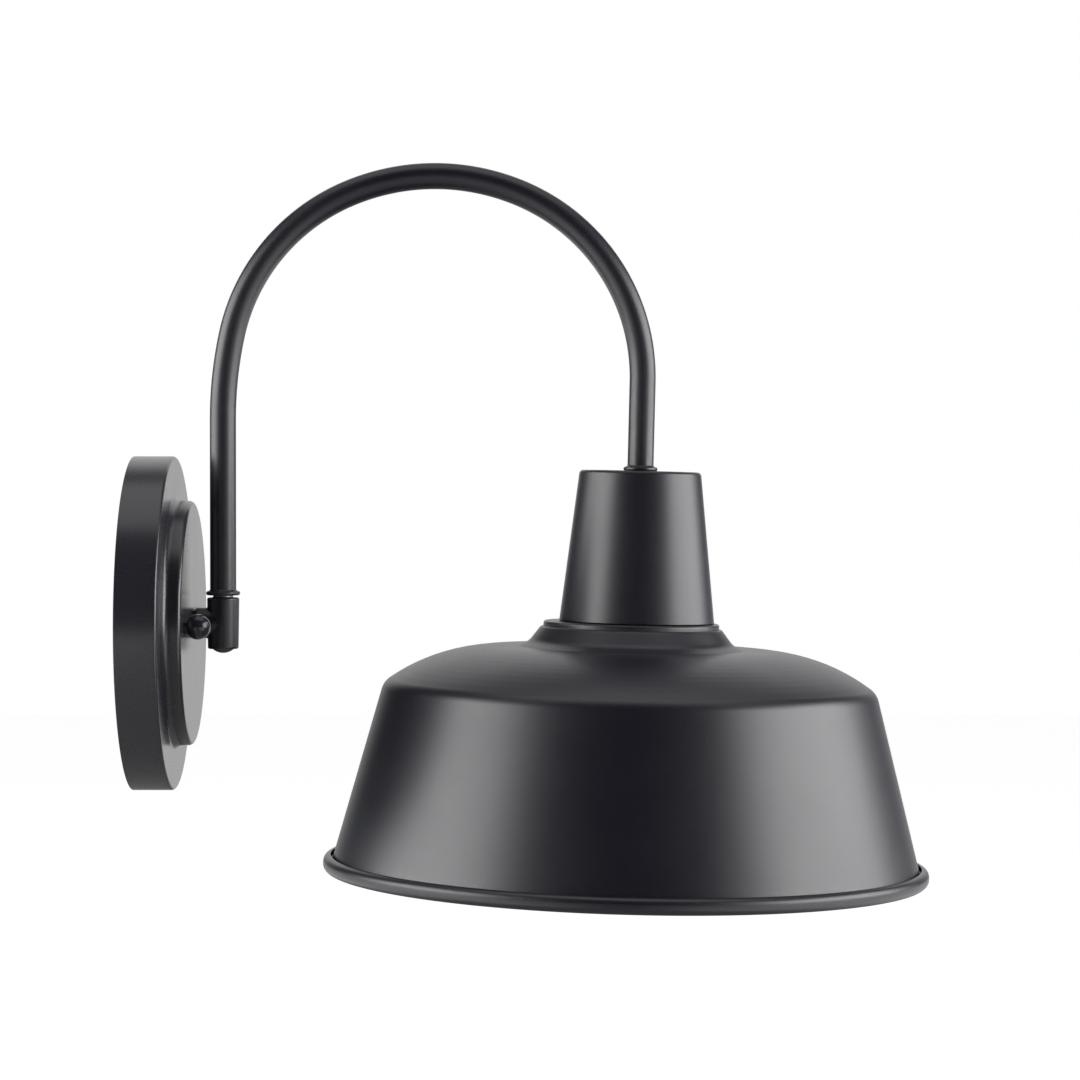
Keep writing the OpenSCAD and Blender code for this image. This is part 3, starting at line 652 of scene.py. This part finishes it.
SHARED = {}


# ---- materials ----

def solid(value):
    return (value[0], value[1], value[2], 1.0)


def lighter(value, factor):
    return tuple(min(1.0, v * factor) for v in value[:3])


def start_material(name, **plain):
    """A material with its Principled shader and the sockets that stay the same all over."""
    made = bpy.data.materials.get(name)
    if made:
        return made, None, None
    made = bpy.data.materials.new(name)
    made.use_nodes = True
    tree = made.node_tree
    shader = tree.nodes["Principled BSDF"]
    for label, value in plain.items():
        shader.inputs[label.replace("_", " ")].default_value = value
    return made, tree, shader


def place_group(tree, maker, values):
    return add(tree, "ShaderNodeGroup", values, node_tree=shared(maker)).outputs


def surface(tree, shader, tint, roughness, height, depth):
    """Links a colour, a roughness and a bump of some depth to the shader."""
    bump = add(tree, "ShaderNodeBump", {"Strength": 1.0, "Distance": depth, "Height": height})
    tree.links.new(tint, shader.inputs["Base Color"])
    tree.links.new(roughness, shader.inputs["Roughness"])
    tree.links.new(bump.outputs[0], shader.inputs["Normal"])


def skin_material(name, hollow, crest, smooth, rough, grain=1.1 * MM, depth=0.02 * MM, worn=None,
                  wear=0.0, worn_roughness=0.3, mottle=30 * MM, **plain):
    """A sprayed, moulded or glazed skin with its grain, and its wear along edges."""
    made, tree, shader = start_material(name, **plain)
    if tree is None:
        return made
    skin = place_group(tree, grain_group, {
        "Hollow": solid(hollow), "Crest": solid(crest), "Smooth": smooth, "Rough": rough,
        "Grain Size": grain, "Mottle Size": mottle})
    tint, roughness = skin["Color"], skin["Roughness"]
    if worn:
        edge = place_group(tree, wear_group, {
            "Color": tint, "Worn Color": solid(worn), "Roughness": roughness,
            "Worn Roughness": worn_roughness, "Wear": wear, "Spot Size": 4 * MM})
        tint, roughness = edge["Color"], edge["Roughness"]
    surface(tree, shader, tint, roughness, skin["Height"], depth)
    return made


def metal_material(name, bright, dull, smooth, rough, bloom=4 * MM, depth=0.008 * MM, **plain):
    """Plated or machined metal."""
    made, tree, shader = start_material(name, Metallic=1.0, **plain)
    if tree is None:
        return made
    plate = place_group(tree, plate_group, {
        "Bright": solid(bright), "Dull": solid(dull), "Smooth": smooth, "Rough": rough,
        "Bloom Size": bloom})
    surface(tree, shader, plate["Color"], plate["Roughness"], plate["Height"], depth)
    return made


CORE_HALF = 0.9 * MM  # half the width of the middle core
CORE_WHITE = (0.62, 0.61, 0.57, 1)


def core_material():
    """Insulation of the three cores: black, white and green by side."""
    finishes = bpy.context.scene.lantern_finishes
    made, tree, shader = start_material("core_insulation")
    if tree is None:
        return made
    across = add(tree, "ShaderNodeSeparateXYZ",
                 {"Vector": add(tree, "ShaderNodeTexCoord").outputs["Object"]}).outputs["X"]
    right = maths(tree, "GREATER_THAN", across, CORE_HALF)
    left = maths(tree, "LESS_THAN", across, -CORE_HALF)
    tint = mix_colours(tree, right, solid(finishes.ground), CORE_WHITE)
    tint = mix_colours(tree, left, tint, solid(finishes.plastic))
    skin = place_group(tree, grain_group, {
        "Hollow": (0, 0, 0, 1), "Crest": (1, 1, 1, 1), "Smooth": 0.32, "Rough": 0.5,
        "Grain Size": 0.6 * MM, "Mottle Size": 12 * MM})
    shade = mix_colours(tree, 0.12, tint, skin["Color"], blend_type="MULTIPLY")
    surface(tree, shader, shade, skin["Roughness"], skin["Height"], 0.01 * MM)
    return made


COAT_SPECULAR = 1.0  # paint has about 0.5; this keeps its highlights bright under plain lamps


def black_coat():
    """Satin powder coat of the spun and drawn parts."""
    f = bpy.context.scene.lantern_finishes
    return skin_material("satin_black_coat", f.coat, f.coat_light, 0.37, 0.43, grain=f.grain,
                         depth=0.006 * MM, worn=f.coat_worn, wear=0.7, worn_roughness=0.3,
                         Specular_IOR_Level=COAT_SPECULAR)


def lit_canopy_coat():
    """Powder coat of the canopy: glossier, and in a lighter black that is painted light."""
    f = bpy.context.scene.lantern_finishes
    return skin_material("lit_canopy_black_coat", f.cast, f.canopy_crest_lit, 0.265, 0.295, grain=f.grain * 0.8,
                         depth=0.0015 * MM, worn=f.coat_worn, wear=0.8, worn_roughness=0.3,
                         Specular_IOR_Level=COAT_SPECULAR)


def gloss_coat():
    """Glossy enamel of the ball nuts, in the canopy's lighter black, which is painted light."""
    f = bpy.context.scene.lantern_finishes
    return skin_material("gloss_black_enamel", f.cast, f.canopy_crest_lit, 0.20, 0.26, grain=f.grain,
                         depth=0.001 * MM, Coat_Weight=0.3, Coat_Roughness=0.14)


def zinc_plate():
    zinc = bpy.context.scene.lantern_finishes.zinc
    return metal_material("zinc_plate", zinc, lighter(zinc, 0.62), 0.28, 0.5)


# ---- build steps ----

class BuildStep:
    """What every build step shares."""
    bl_options = {"REGISTER", "UNDO"}


def lamp_place(lamp):
    """Cup foot on the lamp's axis, from the middle of the rim's wire."""
    return tilted(middle("rim_wire") + LAMP_UP * lamp.shade_depth)


def head_place(lamp):
    """Top of the cup on the tube's axis."""
    return lamp_place(lamp) @ Matrix.Translation((0, -lamp.lamp_shift, lamp.cup_h))


def canopy_face(sizes):
    """Height of the raised drum's face above the wall."""
    return sizes.rim_depth + sizes.drum_rise


BEND_STEP = radians(1.5)   # turn between two points along the tube
OVER = 1 * MM              # how far a drill reaches past its piece
NIPPLE_D, NIPPLE_BORE, NIPPLE_PITCH = 10.3 * MM, 7.6 * MM, 0.94 * MM
STUD_D, STUD_PITCH = 4 * MM, 0.7 * MM


class LANTERN_OT_canopy(BuildStep, Operator):
    """Moulded canopy with its two stud holes"""
    bl_idname = "lantern.canopy"
    bl_label = "Canopy"

    def execute(self, context):
        s = context.scene.lantern_canopy
        face = canopy_face(s)
        drum, outer = s.drum_d / 2, s.outer_d / 2
        path = points((s.hole_d / 2, face), (drum, face), (drum, s.rim_depth),
                      (outer, s.rim_depth), (outer, 0))
        radii = [0, s.drum_edge, s.cove, s.rim_edge, 0]
        loop = finer(sheet_loop(path, radii, s.wall, 0.2 * MM))
        piece = lathe("canopy_casting", loop, AT_WALL, sides=256)
        drilled(piece, *[(AT_WALL @ Matrix.Translation((side * s.ball_spacing / 2, 0, 0)),
                          s.stud_hole_d / 2, s.rim_depth, face + 2 * OVER) for side in (-1, 1)])
        finish_piece(piece, lit_canopy_coat(), "wall_mount", "black_coat", "canopy")
        return {"FINISHED"}


class LANTERN_OT_ball_nuts(BuildStep, Operator):
    """Two glossy ball nuts on the canopy's face"""
    bl_idname = "lantern.ball_nuts"
    bl_label = "Ball nuts"

    def execute(self, context):
        s = context.scene.lantern_canopy
        face = canopy_face(s)
        radius, collar, bore = s.ball_d / 2, s.ball_d * 0.31, 2.05 * MM
        low = -atan2(sqrt(radius ** 2 - collar ** 2), collar)
        ball = arc_points(Vector((0, s.ball_stand)), radius, low, pi / 2, 40)[:-1]
        inside = s.ball_stand + 0.3 * MM
        loop = points((0, inside), (bore, inside), (bore, 0), (collar, 0)) + ball
        loop += points((0, s.ball_stand + radius))
        piece = lathe("ball_nuts_pair", loop, Matrix.Identity(4), sides=64, closed=False)
        with_tree(piece, nut_pair_tree(), Spacing=s.ball_spacing, Finish=gloss_coat())
        settled(piece)
        piece.data.transform(AT_WALL @ Matrix.Translation((0, 0, face)))
        finish_piece(piece, gloss_coat(), "wall_mount", "black_coat", "ball_nuts")
        return {"FINISHED"}


class LANTERN_OT_elbow(BuildStep, Operator):
    """Cast elbow, whose neck runs softly into an upright barrel, and its plug"""
    bl_idname = "lantern.elbow"
    bl_label = "Elbow"

    def execute(self, context):
        s = context.scene.lantern_elbow
        face = -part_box("elbow")[1].y
        low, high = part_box("elbow")[0].z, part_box("elbow")[1].z
        top, foot, edge = s.top_d / 2, s.foot_d / 2, 0.5 * MM
        barrel = lathe("elbow_casting", points((0, low), (foot - edge, low), (foot, low + edge),
                                               (top, high - edge), (top - edge, high), (0, high)),
                       AT_BARREL, sides=96, closed=False)
        neck_r, reach = s.neck_d / 2, -BARREL_AXIS.y
        neck = lathe("neck", points((0, face), (neck_r - s.neck_edge, face),
                                    (neck_r, face + s.neck_edge), (neck_r, reach), (0, reach)),
                     AT_WALL, sides=96, closed=False)
        joined(barrel, neck)
        remesh = barrel.modifiers.new("cast", "REMESH")
        voxel, softened_by_a_pass = 0.22 * MM, 0.1 * MM
        remesh.mode, remesh.voxel_size = "VOXEL", voxel
        soften = barrel.modifiers.new("soften", "SMOOTH")
        soften.factor, soften.iterations = 0.5, ceil(s.weld / softened_by_a_pass)
        settled(barrel)
        neck_bore = 8 * MM
        drilled(barrel, (AT_BARREL, s.bore_d / 2, low - OVER, high + OVER),
                (AT_WALL, s.bore_d / 2, face - OVER, face + neck_bore))
        finish_piece(barrel, black_coat(), "wall_mount", "black_coat", "elbow")

        lip, fit, shank_h = s.bore_d / 2 + 0.2 * MM, 0.05 * MM, 6 * MM
        radius = (lip ** 2 + s.plug_rise ** 2) / (2 * s.plug_rise)
        centre = radius - s.plug_rise
        spread = atan2(lip, centre)
        cap = arc_points(Vector((0, centre)), radius, -pi / 2, spread - pi / 2, 24)
        shank = s.bore_d / 2 - fit
        loop = cap + points((lip, fit), (shank, fit), (shank, shank_h), (0, shank_h))
        plug = lathe("elbow_plug_dome", loop, AT_BARREL @ Matrix.Translation((0, 0, low)),
                     sides=64, closed=False)
        f = context.scene.lantern_finishes
        grey = skin_material("satin_grey_plug", f.plug, lighter(f.plug, 1.4), 0.36, 0.46,
                             grain=0.8 * MM, depth=0.006 * MM)
        finish_piece(plug, grey, "wall_mount", "dark_plug", "elbow_plug")
        return {"FINISHED"}


class LANTERN_OT_bead_rings(BuildStep, Operator):
    """Bead rings at the two ends of the tube"""
    bl_idname = "lantern.bead_rings"
    bl_label = "Bead rings"

    def execute(self, context):
        s = context.scene.lantern_elbow
        lamp = context.scene.lantern_lamp
        bore, outer, high = s.ring_bore / 2, s.ring_d / 2, s.ring_t
        round_r, fillet = 0.45 * high, 0.7 * MM
        loop = rounded(points((bore, 0), (outer, 0), (outer, high), (bore + fillet, high),
                              (bore, high + fillet)),
                       [0, round_r, round_r, 0.5 * MM, 0])
        for name, place, node in (("foot_bead_ring", AT_FOOT_RING, "swivel_ring"),
                                  ("cup_bead_ring", head_place(lamp), "cup_ring")):
            piece = lathe(name, finer(loop, 0.15 * MM, 1 * MM), place, sides=96)
            finish_piece(piece, black_coat(), "arm", "black_coat", node)
        return {"FINISHED"}


class LANTERN_OT_arm(BuildStep, Operator):
    """Bent tube from the elbow over the arch to the cup"""
    bl_idname = "lantern.arm"
    bl_label = "Arm tube"

    def execute(self, context):
        s = context.scene.lantern_arm
        y, z, turn = BARREL_AXIS.y, FOOT_RING_Z, 0.0
        line = [(y, z), (y, z + s.leg)]
        y, z = line[-1]
        for radius, bend in ((s.ease_r, s.ease), (s.shoulder_r, s.shoulder), (s.crown_r, s.crown),
                             (s.shoulder_r, s.lamp_shoulder)):
            steps = ceil(bend / BEND_STEP)
            middle_y, middle_z = y - radius * cos(turn), z - radius * sin(turn)
            for k in range(1, steps + 1):
                at = turn + bend * k / steps
                line.append((middle_y + radius * cos(at), middle_z + radius * sin(at)))
            y, z = line[-1]
            turn += bend
        line.append((y - s.drop * sin(turn), z + s.drop * cos(turn)))
        head = head_place(context.scene.lantern_lamp).translation
        if (Vector((0, *line[-1])) - head).length > 0.5 * MM:
            raise RuntimeError("the tube's end misses the cup: the arm's sizes don't fit the frame")
        curve = bpy.data.curves.new("arm_line", "CURVE")
        curve.dimensions = "3D"
        spline = curve.splines.new("POLY")
        spline.points.add(len(line) - 1)
        for point, (py, pz) in zip(spline.points, line):
            point.co = (0, py, pz, 1)
        arm = new_piece("arm_tube_bent", curve)
        with_tree(arm, tube_tree(), Radius=s.tube_d / 2, Sides=72, Finish=black_coat())
        arm = settled(arm)
        shape = bmesh.new()
        shape.from_mesh(arm.data)
        bmesh.ops.recalc_face_normals(shape, faces=shape.faces)
        shape.to_mesh(arm.data)
        shape.free()
        wall = arm.modifiers.new("wall", "SOLIDIFY")
        wall.thickness, wall.offset = s.tube_wall, -1
        settled(arm)
        finish_piece(arm, black_coat(), "arm", "black_coat", "arm_tube")
        return {"FINISHED"}


class LANTERN_OT_cup(BuildStep, Operator):
    """Tapered socket cup"""
    bl_idname = "lantern.cup"
    bl_label = "Socket cup"

    def execute(self, context):
        s = context.scene.lantern_lamp
        hole = context.scene.lantern_elbow.bore_d / 2
        path = points((hole, 0), (s.cup_top_d / 2, 0), (s.cup_foot_d / 2, -s.cup_h))
        loop = finer(sheet_loop(path, [0, s.cup_edge, 0], s.cup_wall, 0.35 * MM))
        piece = lathe("socket_cup_drawn", loop, head_place(s))
        finish_piece(piece, black_coat(), "arm", "black_coat", "socket_cup")
        return {"FINISHED"}


class LANTERN_OT_shade(BuildStep, Operator):
    """Spun shade with its rolled rim bead"""
    bl_idname = "lantern.shade"
    bl_label = "Shade"

    def execute(self, context):
        s = context.scene.lantern_lamp
        skirt = Vector((sin(s.skirt), -cos(s.skirt)))
        slope = Vector((cos(s.crown_slope), -sin(s.crown_slope)))
        bead_r = s.bead_d / 2
        bead = Vector((s.shade_d / 2 - bead_r, -s.shade_depth))
        foot = bead - Vector((s.bead_out, 0))
        top, flat = -s.seat, s.flat_d / 2
        brow = Vector((s.crown_flat_r + s.crown_r * tan(s.crown_slope / 2), -s.crown_drop))
        corner = crossing(brow, slope, foot, skirt)
        path = points((s.hole_d / 2, top), (flat, top), (flat, -s.flat_h),
                      (s.neck_d / 2, -s.flat_h),
                      (s.flare_d / 2 - s.cove_in, s.cove_up - s.crown_drop),
                      (s.flare_d / 2, -s.crown_drop))
        path += [brow, corner, foot]
        radii = [0, s.flat_edge, 0.3 * MM, s.neck_edge, s.cove_r, 0.8 * MM, s.crown_r,
                 s.corner_r, 0]
        inside, inside_radii = moved(path, s.sheet), inner_radii(path, radii, s.sheet)

        lip = bead + Vector((0, s.lip_rise))
        skirt_side = -s.bead_out - s.lip_rise * tan(s.skirt)

        def lip_angle(across, radius):
            """Where a line along the skirt, across from the lip's middle, leaves a circle."""
            start = Vector((across, 0))
            along = start.dot(skirt)
            point = start - skirt * (along + sqrt(along ** 2 - start.length_squared + radius ** 2))
            return atan2(point.y, point.x)

        def track(radius, first, last):
            """Round the bead's stretched circle, starting and ending on its upper half."""
            down, half = (pi, pi) if last > first else (0, -pi)
            return (arc_points(lip, radius, first, down, 12)
                    + arc_points(bead, radius, down, down + half, 28)
                    + arc_points(lip, radius, down + half, last, 12))

        bore = bead_r - s.sheet
        edge = skirt_side + s.slit
        roll = track(bore, lip_angle(skirt_side, bore), lip_angle(edge, bore) + 2 * pi)
        roll += track(bead_r, lip_angle(edge, bead_r),
                      lip_angle(skirt_side - s.sheet / cos(s.skirt), bead_r) - 2 * pi)
        loop = rounded(path[:-1] + roll + inside[-2::-1],
                       radii[:-1] + [0] * len(roll) + inside_radii[-2::-1])
        piece = lathe("shade_spun", finer(loop, 1.2 * MM, 6 * MM), lamp_place(s), sides=208)
        finish_piece(piece, black_coat(), "arm", "black_coat", "shade", crease=35)
        return {"FINISHED"}


class LANTERN_OT_threads(BuildStep, Operator):
    """Threaded nipples and canopy studs"""
    bl_idname = "lantern.threads"
    bl_label = "Threaded rods"

    def execute(self, context):
        tree = thread_tree()
        spacing = context.scene.lantern_canopy.ball_spacing
        wall_low, wall_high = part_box("canopy_nipple")
        swivel_low, swivel_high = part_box("swivel_nipple")
        head_low, head_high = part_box("head_nipple")
        head_reach = (head_high.z - head_low.z - NIPPLE_D * sin(LEAN)) / cos(LEAN)
        head_start = middle("head_nipple") - LAMP_UP * head_reach / 2
        stud_reach = -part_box("canopy_studs")[0].y
        nipple, stud = (NIPPLE_D, NIPPLE_BORE, NIPPLE_PITCH), (STUD_D, 0, STUD_PITCH)
        rods = [
            ("canopy_nipple_threaded", "wall_mount", "canopy_nipple", nipple,
             [(AT_WALL @ Matrix.Translation((0, 0, -wall_high.y)), wall_high.y - wall_low.y)]),
            ("swivel_nipple_threaded", "arm", "swivel_nipple", nipple,
             [(Matrix.Translation((0, BARREL_AXIS.y, swivel_low.z)),
               swivel_high.z - swivel_low.z)]),
            ("head_nipple_threaded", "arm", "head_nipple", nipple,
             [(tilted(head_start), head_reach)]),
            ("canopy_studs_threaded", "wall_mount", "canopy_studs", stud,
             [(AT_WALL @ Matrix.Translation((side * spacing / 2, 0, 0)), stud_reach)
              for side in (-1, 1)]),
        ]
        for name, body, node, (width, bore, pitch), places in rods:
            turned = []
            outer, ridge, edge = width / 2, 0.3 * pitch, 0.3 * MM
            core = outer - ridge
            for place, reach in places:
                loop = points((bore / 2, 0), (core - edge, 0), (core, edge), (core, reach - edge),
                              (core - edge, reach), (bore / 2, reach))
                rod = lathe(name, loop, Matrix.Identity(4), sides=48, closed=bool(bore))
                with_tree(rod, tree, Radius=outer, Ridge=ridge, Length=reach, Pitch=pitch,
                          Finish=zinc_plate())
                settled(rod)
                rod.data.transform(place)
                turned.append(rod)
            finish_piece(joined(*turned), zinc_plate(), body, "zinc_steel", node)
        return {"FINISHED"}


class LANTERN_OT_hardware(BuildStep, Operator):
    """Finishes of the frame's own small parts"""
    bl_idname = "lantern.hardware"
    bl_label = "Hardware finishes"

    def execute(self, context):
        f = context.scene.lantern_finishes
        zinc = zinc_plate()
        brass = metal_material("bright_brass", f.brass, lighter(f.brass, 0.7), 0.2, 0.38)
        nickel = metal_material("nickel_cap", (0.62, 0.60, 0.56), (0.45, 0.43, 0.40), 0.16, 0.3)
        glaze = skin_material("porcelain_glaze", f.porcelain, lighter(f.porcelain, 1.06), 0.12,
                              0.2, grain=2 * MM, depth=0.01 * MM, Coat_Weight=0.4,
                              Coat_Roughness=0.05)
        foam = skin_material("gasket_foam", f.rubber, lighter(f.rubber, 1.7), 0.75, 0.95,
                             grain=0.5 * MM, depth=0.08 * MM)
        jacket = skin_material("cable_jacket", f.rubber, lighter(f.rubber, 1.4), 0.42, 0.58,
                               grain=0.7 * MM, depth=0.015 * MM)
        moulded = skin_material("moulded_black", f.plastic, lighter(f.plastic, 1.3), 0.38, 0.5,
                                grain=0.5 * MM, depth=0.012 * MM)
        orange = skin_material("connector_orange", f.connector, lighter(f.connector, 1.15), 0.4,
                               0.52, grain=0.5 * MM, depth=0.012 * MM)
        green = skin_material("ground_green", f.ground, lighter(f.ground, 1.3), 0.28, 0.42,
                              grain=0.8 * MM, depth=0.006 * MM, Coat_Weight=0.3)
        opal = skin_material("opal_diffuser", f.opal, lighter(f.opal, 1.03), 0.32, 0.4,
                             grain=0.5 * MM, depth=0.004 * MM)
        white = skin_material("bulb_white", f.bulb_white, lighter(f.bulb_white, 1.04), 0.3, 0.42,
                              grain=0.6 * MM, depth=0.006 * MM)
        board = skin_material("circuit_white", (0.70, 0.72, 0.68), (0.76, 0.78, 0.74), 0.35, 0.5)
        glass = skin_material("cap_insulator", (0.012, 0.012, 0.016), (0.02, 0.02, 0.026), 0.08,
                              0.16)
        finishes = {
            zinc: ["mounting_strap", "stud_lock_nuts", "nipple_nut", "nipple_washer",
                   "lock_washer", "head_nut", "socket_bracket", "bracket_screws"],
            black_coat(): ["rim_wire"],
            brass: ["screw_shell", "centre_contact", "terminal_screws"],
            nickel: ["bulb_cap", "bulb_contact"],
            glaze: ["lampholder"],
            foam: ["wall_gasket"],
            jacket: ["wall_cable", "arm_cable"],
            core_material(): ["cable_cores", "socket_leads"],
            moulded: ["shade_ring"],
            orange: ["wire_connectors"],
            green: ["ground_screw"],
            opal: ["bulb_globe"],
            white: ["bulb_housing"],
            board: ["led_board"],
            glass: ["bulb_insulator"],
        }
        for material, nodes in finishes.items():
            for node in nodes:
                for used in frame["nodes"][node].material_slots:
                    used.material = material
        return {"FINISHED"}


# ---- stage, in metres and watts ----

# name, X, Y from the lantern's middle, Z, width and height, power
SOFT_BOXES = (("left_box", -0.25, 1.67, 0.45, (1.94, 1.1), 28),
              ("right_box", -0.17, -1.68, 0.45, (2.1, 1.1), 33),
              ("top_box", 0.0, 0.0, 1.9, (1.6, 2.6), 10))
FLOOR_DROP = 0.35  # from the lantern's lowest point
FLOOR_HALF = 6
CAMERA_PLACE = (-1.5438, -0.1967, 0.0662)
CAMERA_AIM = (1, -0.003226, -0.016129)
SENSOR_MM, LENS_MM = 36, 103.3333

# Soft steps, each from its outer to its inner side: SCREEN_ ones are parts of a ray's
# direction, FLOOR_ ones are places
SCREEN_AHEAD = (0.3, 0.6)
SCREEN_ACROSS = (-0.54, -0.32), (0.52, 0.3)
SCREEN_UP = (-0.22, -0.1), (0.85, 0.6)
FLOOR_BEYOND = (0.9, 2.2)
FLOOR_ACROSS = (-2.0, -1.1), (1.7, 0.9)
FLOOR_BESIDE = (0.25, 0.7)
FLOOR_GREY, FLOOR_LIFT = 0.4, 0.975


def soft_box(name, spot, aim, size, power):
    """A rectangular soft box at a spot, turned to an aim."""
    lamp = bpy.data.lights.new(name, "AREA")
    lamp.shape, (lamp.size, lamp.size_y), lamp.energy = "RECTANGLE", size, power
    box = bpy.data.objects.new(name, lamp)
    bpy.context.scene.collection.objects.link(box)
    box.location = spot
    box.rotation_euler = (Vector(aim) - Vector(spot)).to_track_quat("-Z", "Y").to_euler()
    return box


def fade(tree, value, step):
    """1 on the inner side of a soft step and 0 on its outer side."""
    return mapped(tree, value, *step, interpolation_type="SMOOTHSTEP")


def between(tree, value, steps):
    """1 between two soft steps."""
    return product(tree, fade(tree, value, steps[0]), fade(tree, value, steps[1]))


def white_screen(tree, direction):
    """1 for rays towards the white screen behind the lantern."""
    toward = add(tree, "ShaderNodeSeparateXYZ", {"Vector": direction}).outputs
    sides = product(tree, between(tree, toward["Z"], SCREEN_UP),
                    between(tree, toward["Y"], SCREEN_ACROSS))
    return product(tree, fade(tree, toward["X"], SCREEN_AHEAD), sides)


def studio_world():
    """A dim studio, white to the camera all round and to gloss behind the lantern."""
    world = bpy.data.worlds.new("studio")
    world.use_nodes = True
    tree = world.node_tree
    tree.nodes.clear()
    rays = add(tree, "ShaderNodeLightPath")
    screen = white_screen(tree, add(tree, "ShaderNodeTexCoord").outputs["Generated"])
    mirrored = larger(tree, rays.outputs["Is Glossy Ray"], rays.outputs["Is Transmission Ray"])
    shown = larger(tree, rays.outputs["Is Camera Ray"], product(tree, mirrored, screen))
    dim = add(tree, "ShaderNodeBackground", {"Color": (0.5, 0.52, 0.56, 1), "Strength": 0.03})
    white = add(tree, "ShaderNodeBackground", {"Color": (1, 1, 1, 1), "Strength": 1.0})
    mixed = add(tree, "ShaderNodeMixShader",
                {0: shown, 1: dim.outputs[0], 2: white.outputs[0]})
    add(tree, "ShaderNodeOutputWorld", {"Surface": mixed.outputs[0]})
    bpy.context.scene.world = world


def floor_material(lamp_y):
    """Pale floor that shows white to the camera, keeps shadows and is clear from below."""
    made = bpy.data.materials.new("pale_floor")
    made.use_nodes = True
    tree = made.node_tree
    tree.nodes.clear()
    rays = add(tree, "ShaderNodeLightPath")
    pale = add(tree, "ShaderNodeBsdfDiffuse", {"Color": (FLOOR_GREY, FLOOR_GREY, FLOOR_GREY, 1)})
    place = add(tree, "ShaderNodeNewGeometry")
    spot = add(tree, "ShaderNodeSeparateXYZ", {"Vector": place.outputs["Position"]}).outputs
    beyond = product(tree, fade(tree, spot["X"], FLOOR_BEYOND),
                     between(tree, spot["Y"], FLOOR_ACROSS))
    aside = maths(tree, "ABSOLUTE", maths(tree, "SUBTRACT", spot["Y"], lamp_y))
    beside = fade(tree, aside, FLOOR_BESIDE)
    mirrored = product(tree, rays.outputs["Is Glossy Ray"], larger(tree, beyond, beside))
    lift = product(tree, larger(tree, rays.outputs["Is Camera Ray"], mirrored), FLOOR_LIFT)
    glow = add(tree, "ShaderNodeEmission", {"Color": (1, 1, 1, 1), "Strength": lift})
    both = add(tree, "ShaderNodeAddShader", {0: pale.outputs[0], 1: glow.outputs[0]})
    clear = add(tree, "ShaderNodeBsdfTransparent")
    under = place.outputs["Backfacing"]
    side = add(tree, "ShaderNodeMixShader", {0: under, 1: both.outputs[0], 2: clear.outputs[0]})
    add(tree, "ShaderNodeOutputMaterial", {"Surface": side.outputs[0]})
    return made


class LANTERN_OT_stage(BuildStep, Operator):
    """Pale floor, soft boxes, studio world and camera"""
    bl_idname = "lantern.stage"
    bl_label = "Stage"

    def execute(self, context):
        low, high = CAD_BOX
        heart = (low + high) / 2
        shape = bmesh.new()
        bmesh.ops.create_grid(shape, x_segments=1, y_segments=1, size=FLOOR_HALF)
        mesh = bpy.data.meshes.new("floor")
        shape.to_mesh(mesh)
        shape.free()
        mesh.transform(Matrix.Translation((0, 0, low.z - FLOOR_DROP)))
        mesh.materials.append(floor_material(heart.y))
        new_piece("floor", mesh)
        studio_world()

        for name, x, y, z, size, power in SOFT_BOXES:
            soft_box(name, (x, heart.y + y, z), heart, size, power)

        eye = bpy.data.cameras.new("camera")
        eye.sensor_width, eye.lens = SENSOR_MM, LENS_MM
        eye.clip_start, eye.clip_end = 0.05, 40
        camera = bpy.data.objects.new("camera", eye)
        context.scene.collection.objects.link(camera)
        camera.location = CAMERA_PLACE
        camera.rotation_euler = Vector(CAMERA_AIM).to_track_quat("-Z", "Y").to_euler()
        context.scene.camera = camera
        context.scene.view_settings.view_transform = "Standard"
        return {"FINISHED"}


# ---- panel and registration ----

STEPS = ("canopy", "ball_nuts", "elbow", "bead_rings", "arm", "cup", "shade", "threads",
         "hardware", "stage")
GROUPS = {"lantern_canopy": CanopySizes, "lantern_elbow": ElbowSizes, "lantern_arm": ArmSizes,
          "lantern_lamp": LampSizes, "lantern_finishes": Finishes}


class LANTERN_PT_sidebar(Panel):
    """Sizes, colours and build steps of the lantern"""
    bl_idname = "LANTERN_PT_sidebar"
    bl_label = "Wall Lantern"
    bl_space_type = "VIEW_3D"
    bl_region_type = "UI"
    bl_category = "Lantern"

    def draw(self, context):
        for step in STEPS:
            self.layout.operator("lantern." + step)
        for name in GROUPS:
            sizes = getattr(context.scene, name)
            box = self.layout.box()
            for prop in sizes.bl_rna.properties:
                if not prop.is_readonly and prop.identifier != "name":
                    box.prop(sizes, prop.identifier)


CLASSES = (*GROUPS.values(), LANTERN_OT_canopy, LANTERN_OT_ball_nuts, LANTERN_OT_elbow,
           LANTERN_OT_bead_rings, LANTERN_OT_arm, LANTERN_OT_cup, LANTERN_OT_shade,
           LANTERN_OT_threads, LANTERN_OT_hardware, LANTERN_OT_stage, LANTERN_PT_sidebar)


def register():
    for cls in CLASSES:
        bpy.utils.register_class(cls)
    for name, cls in GROUPS.items():
        setattr(bpy.types.Scene, name, PointerProperty(type=cls))


def unregister():
    for name in GROUPS:
        delattr(bpy.types.Scene, name)
    for cls in reversed(CLASSES):
        bpy.utils.unregister_class(cls)


def main():
    register()
    for step in STEPS:
        getattr(bpy.ops.lantern, step)()


if __name__ == "__main__":
    main()
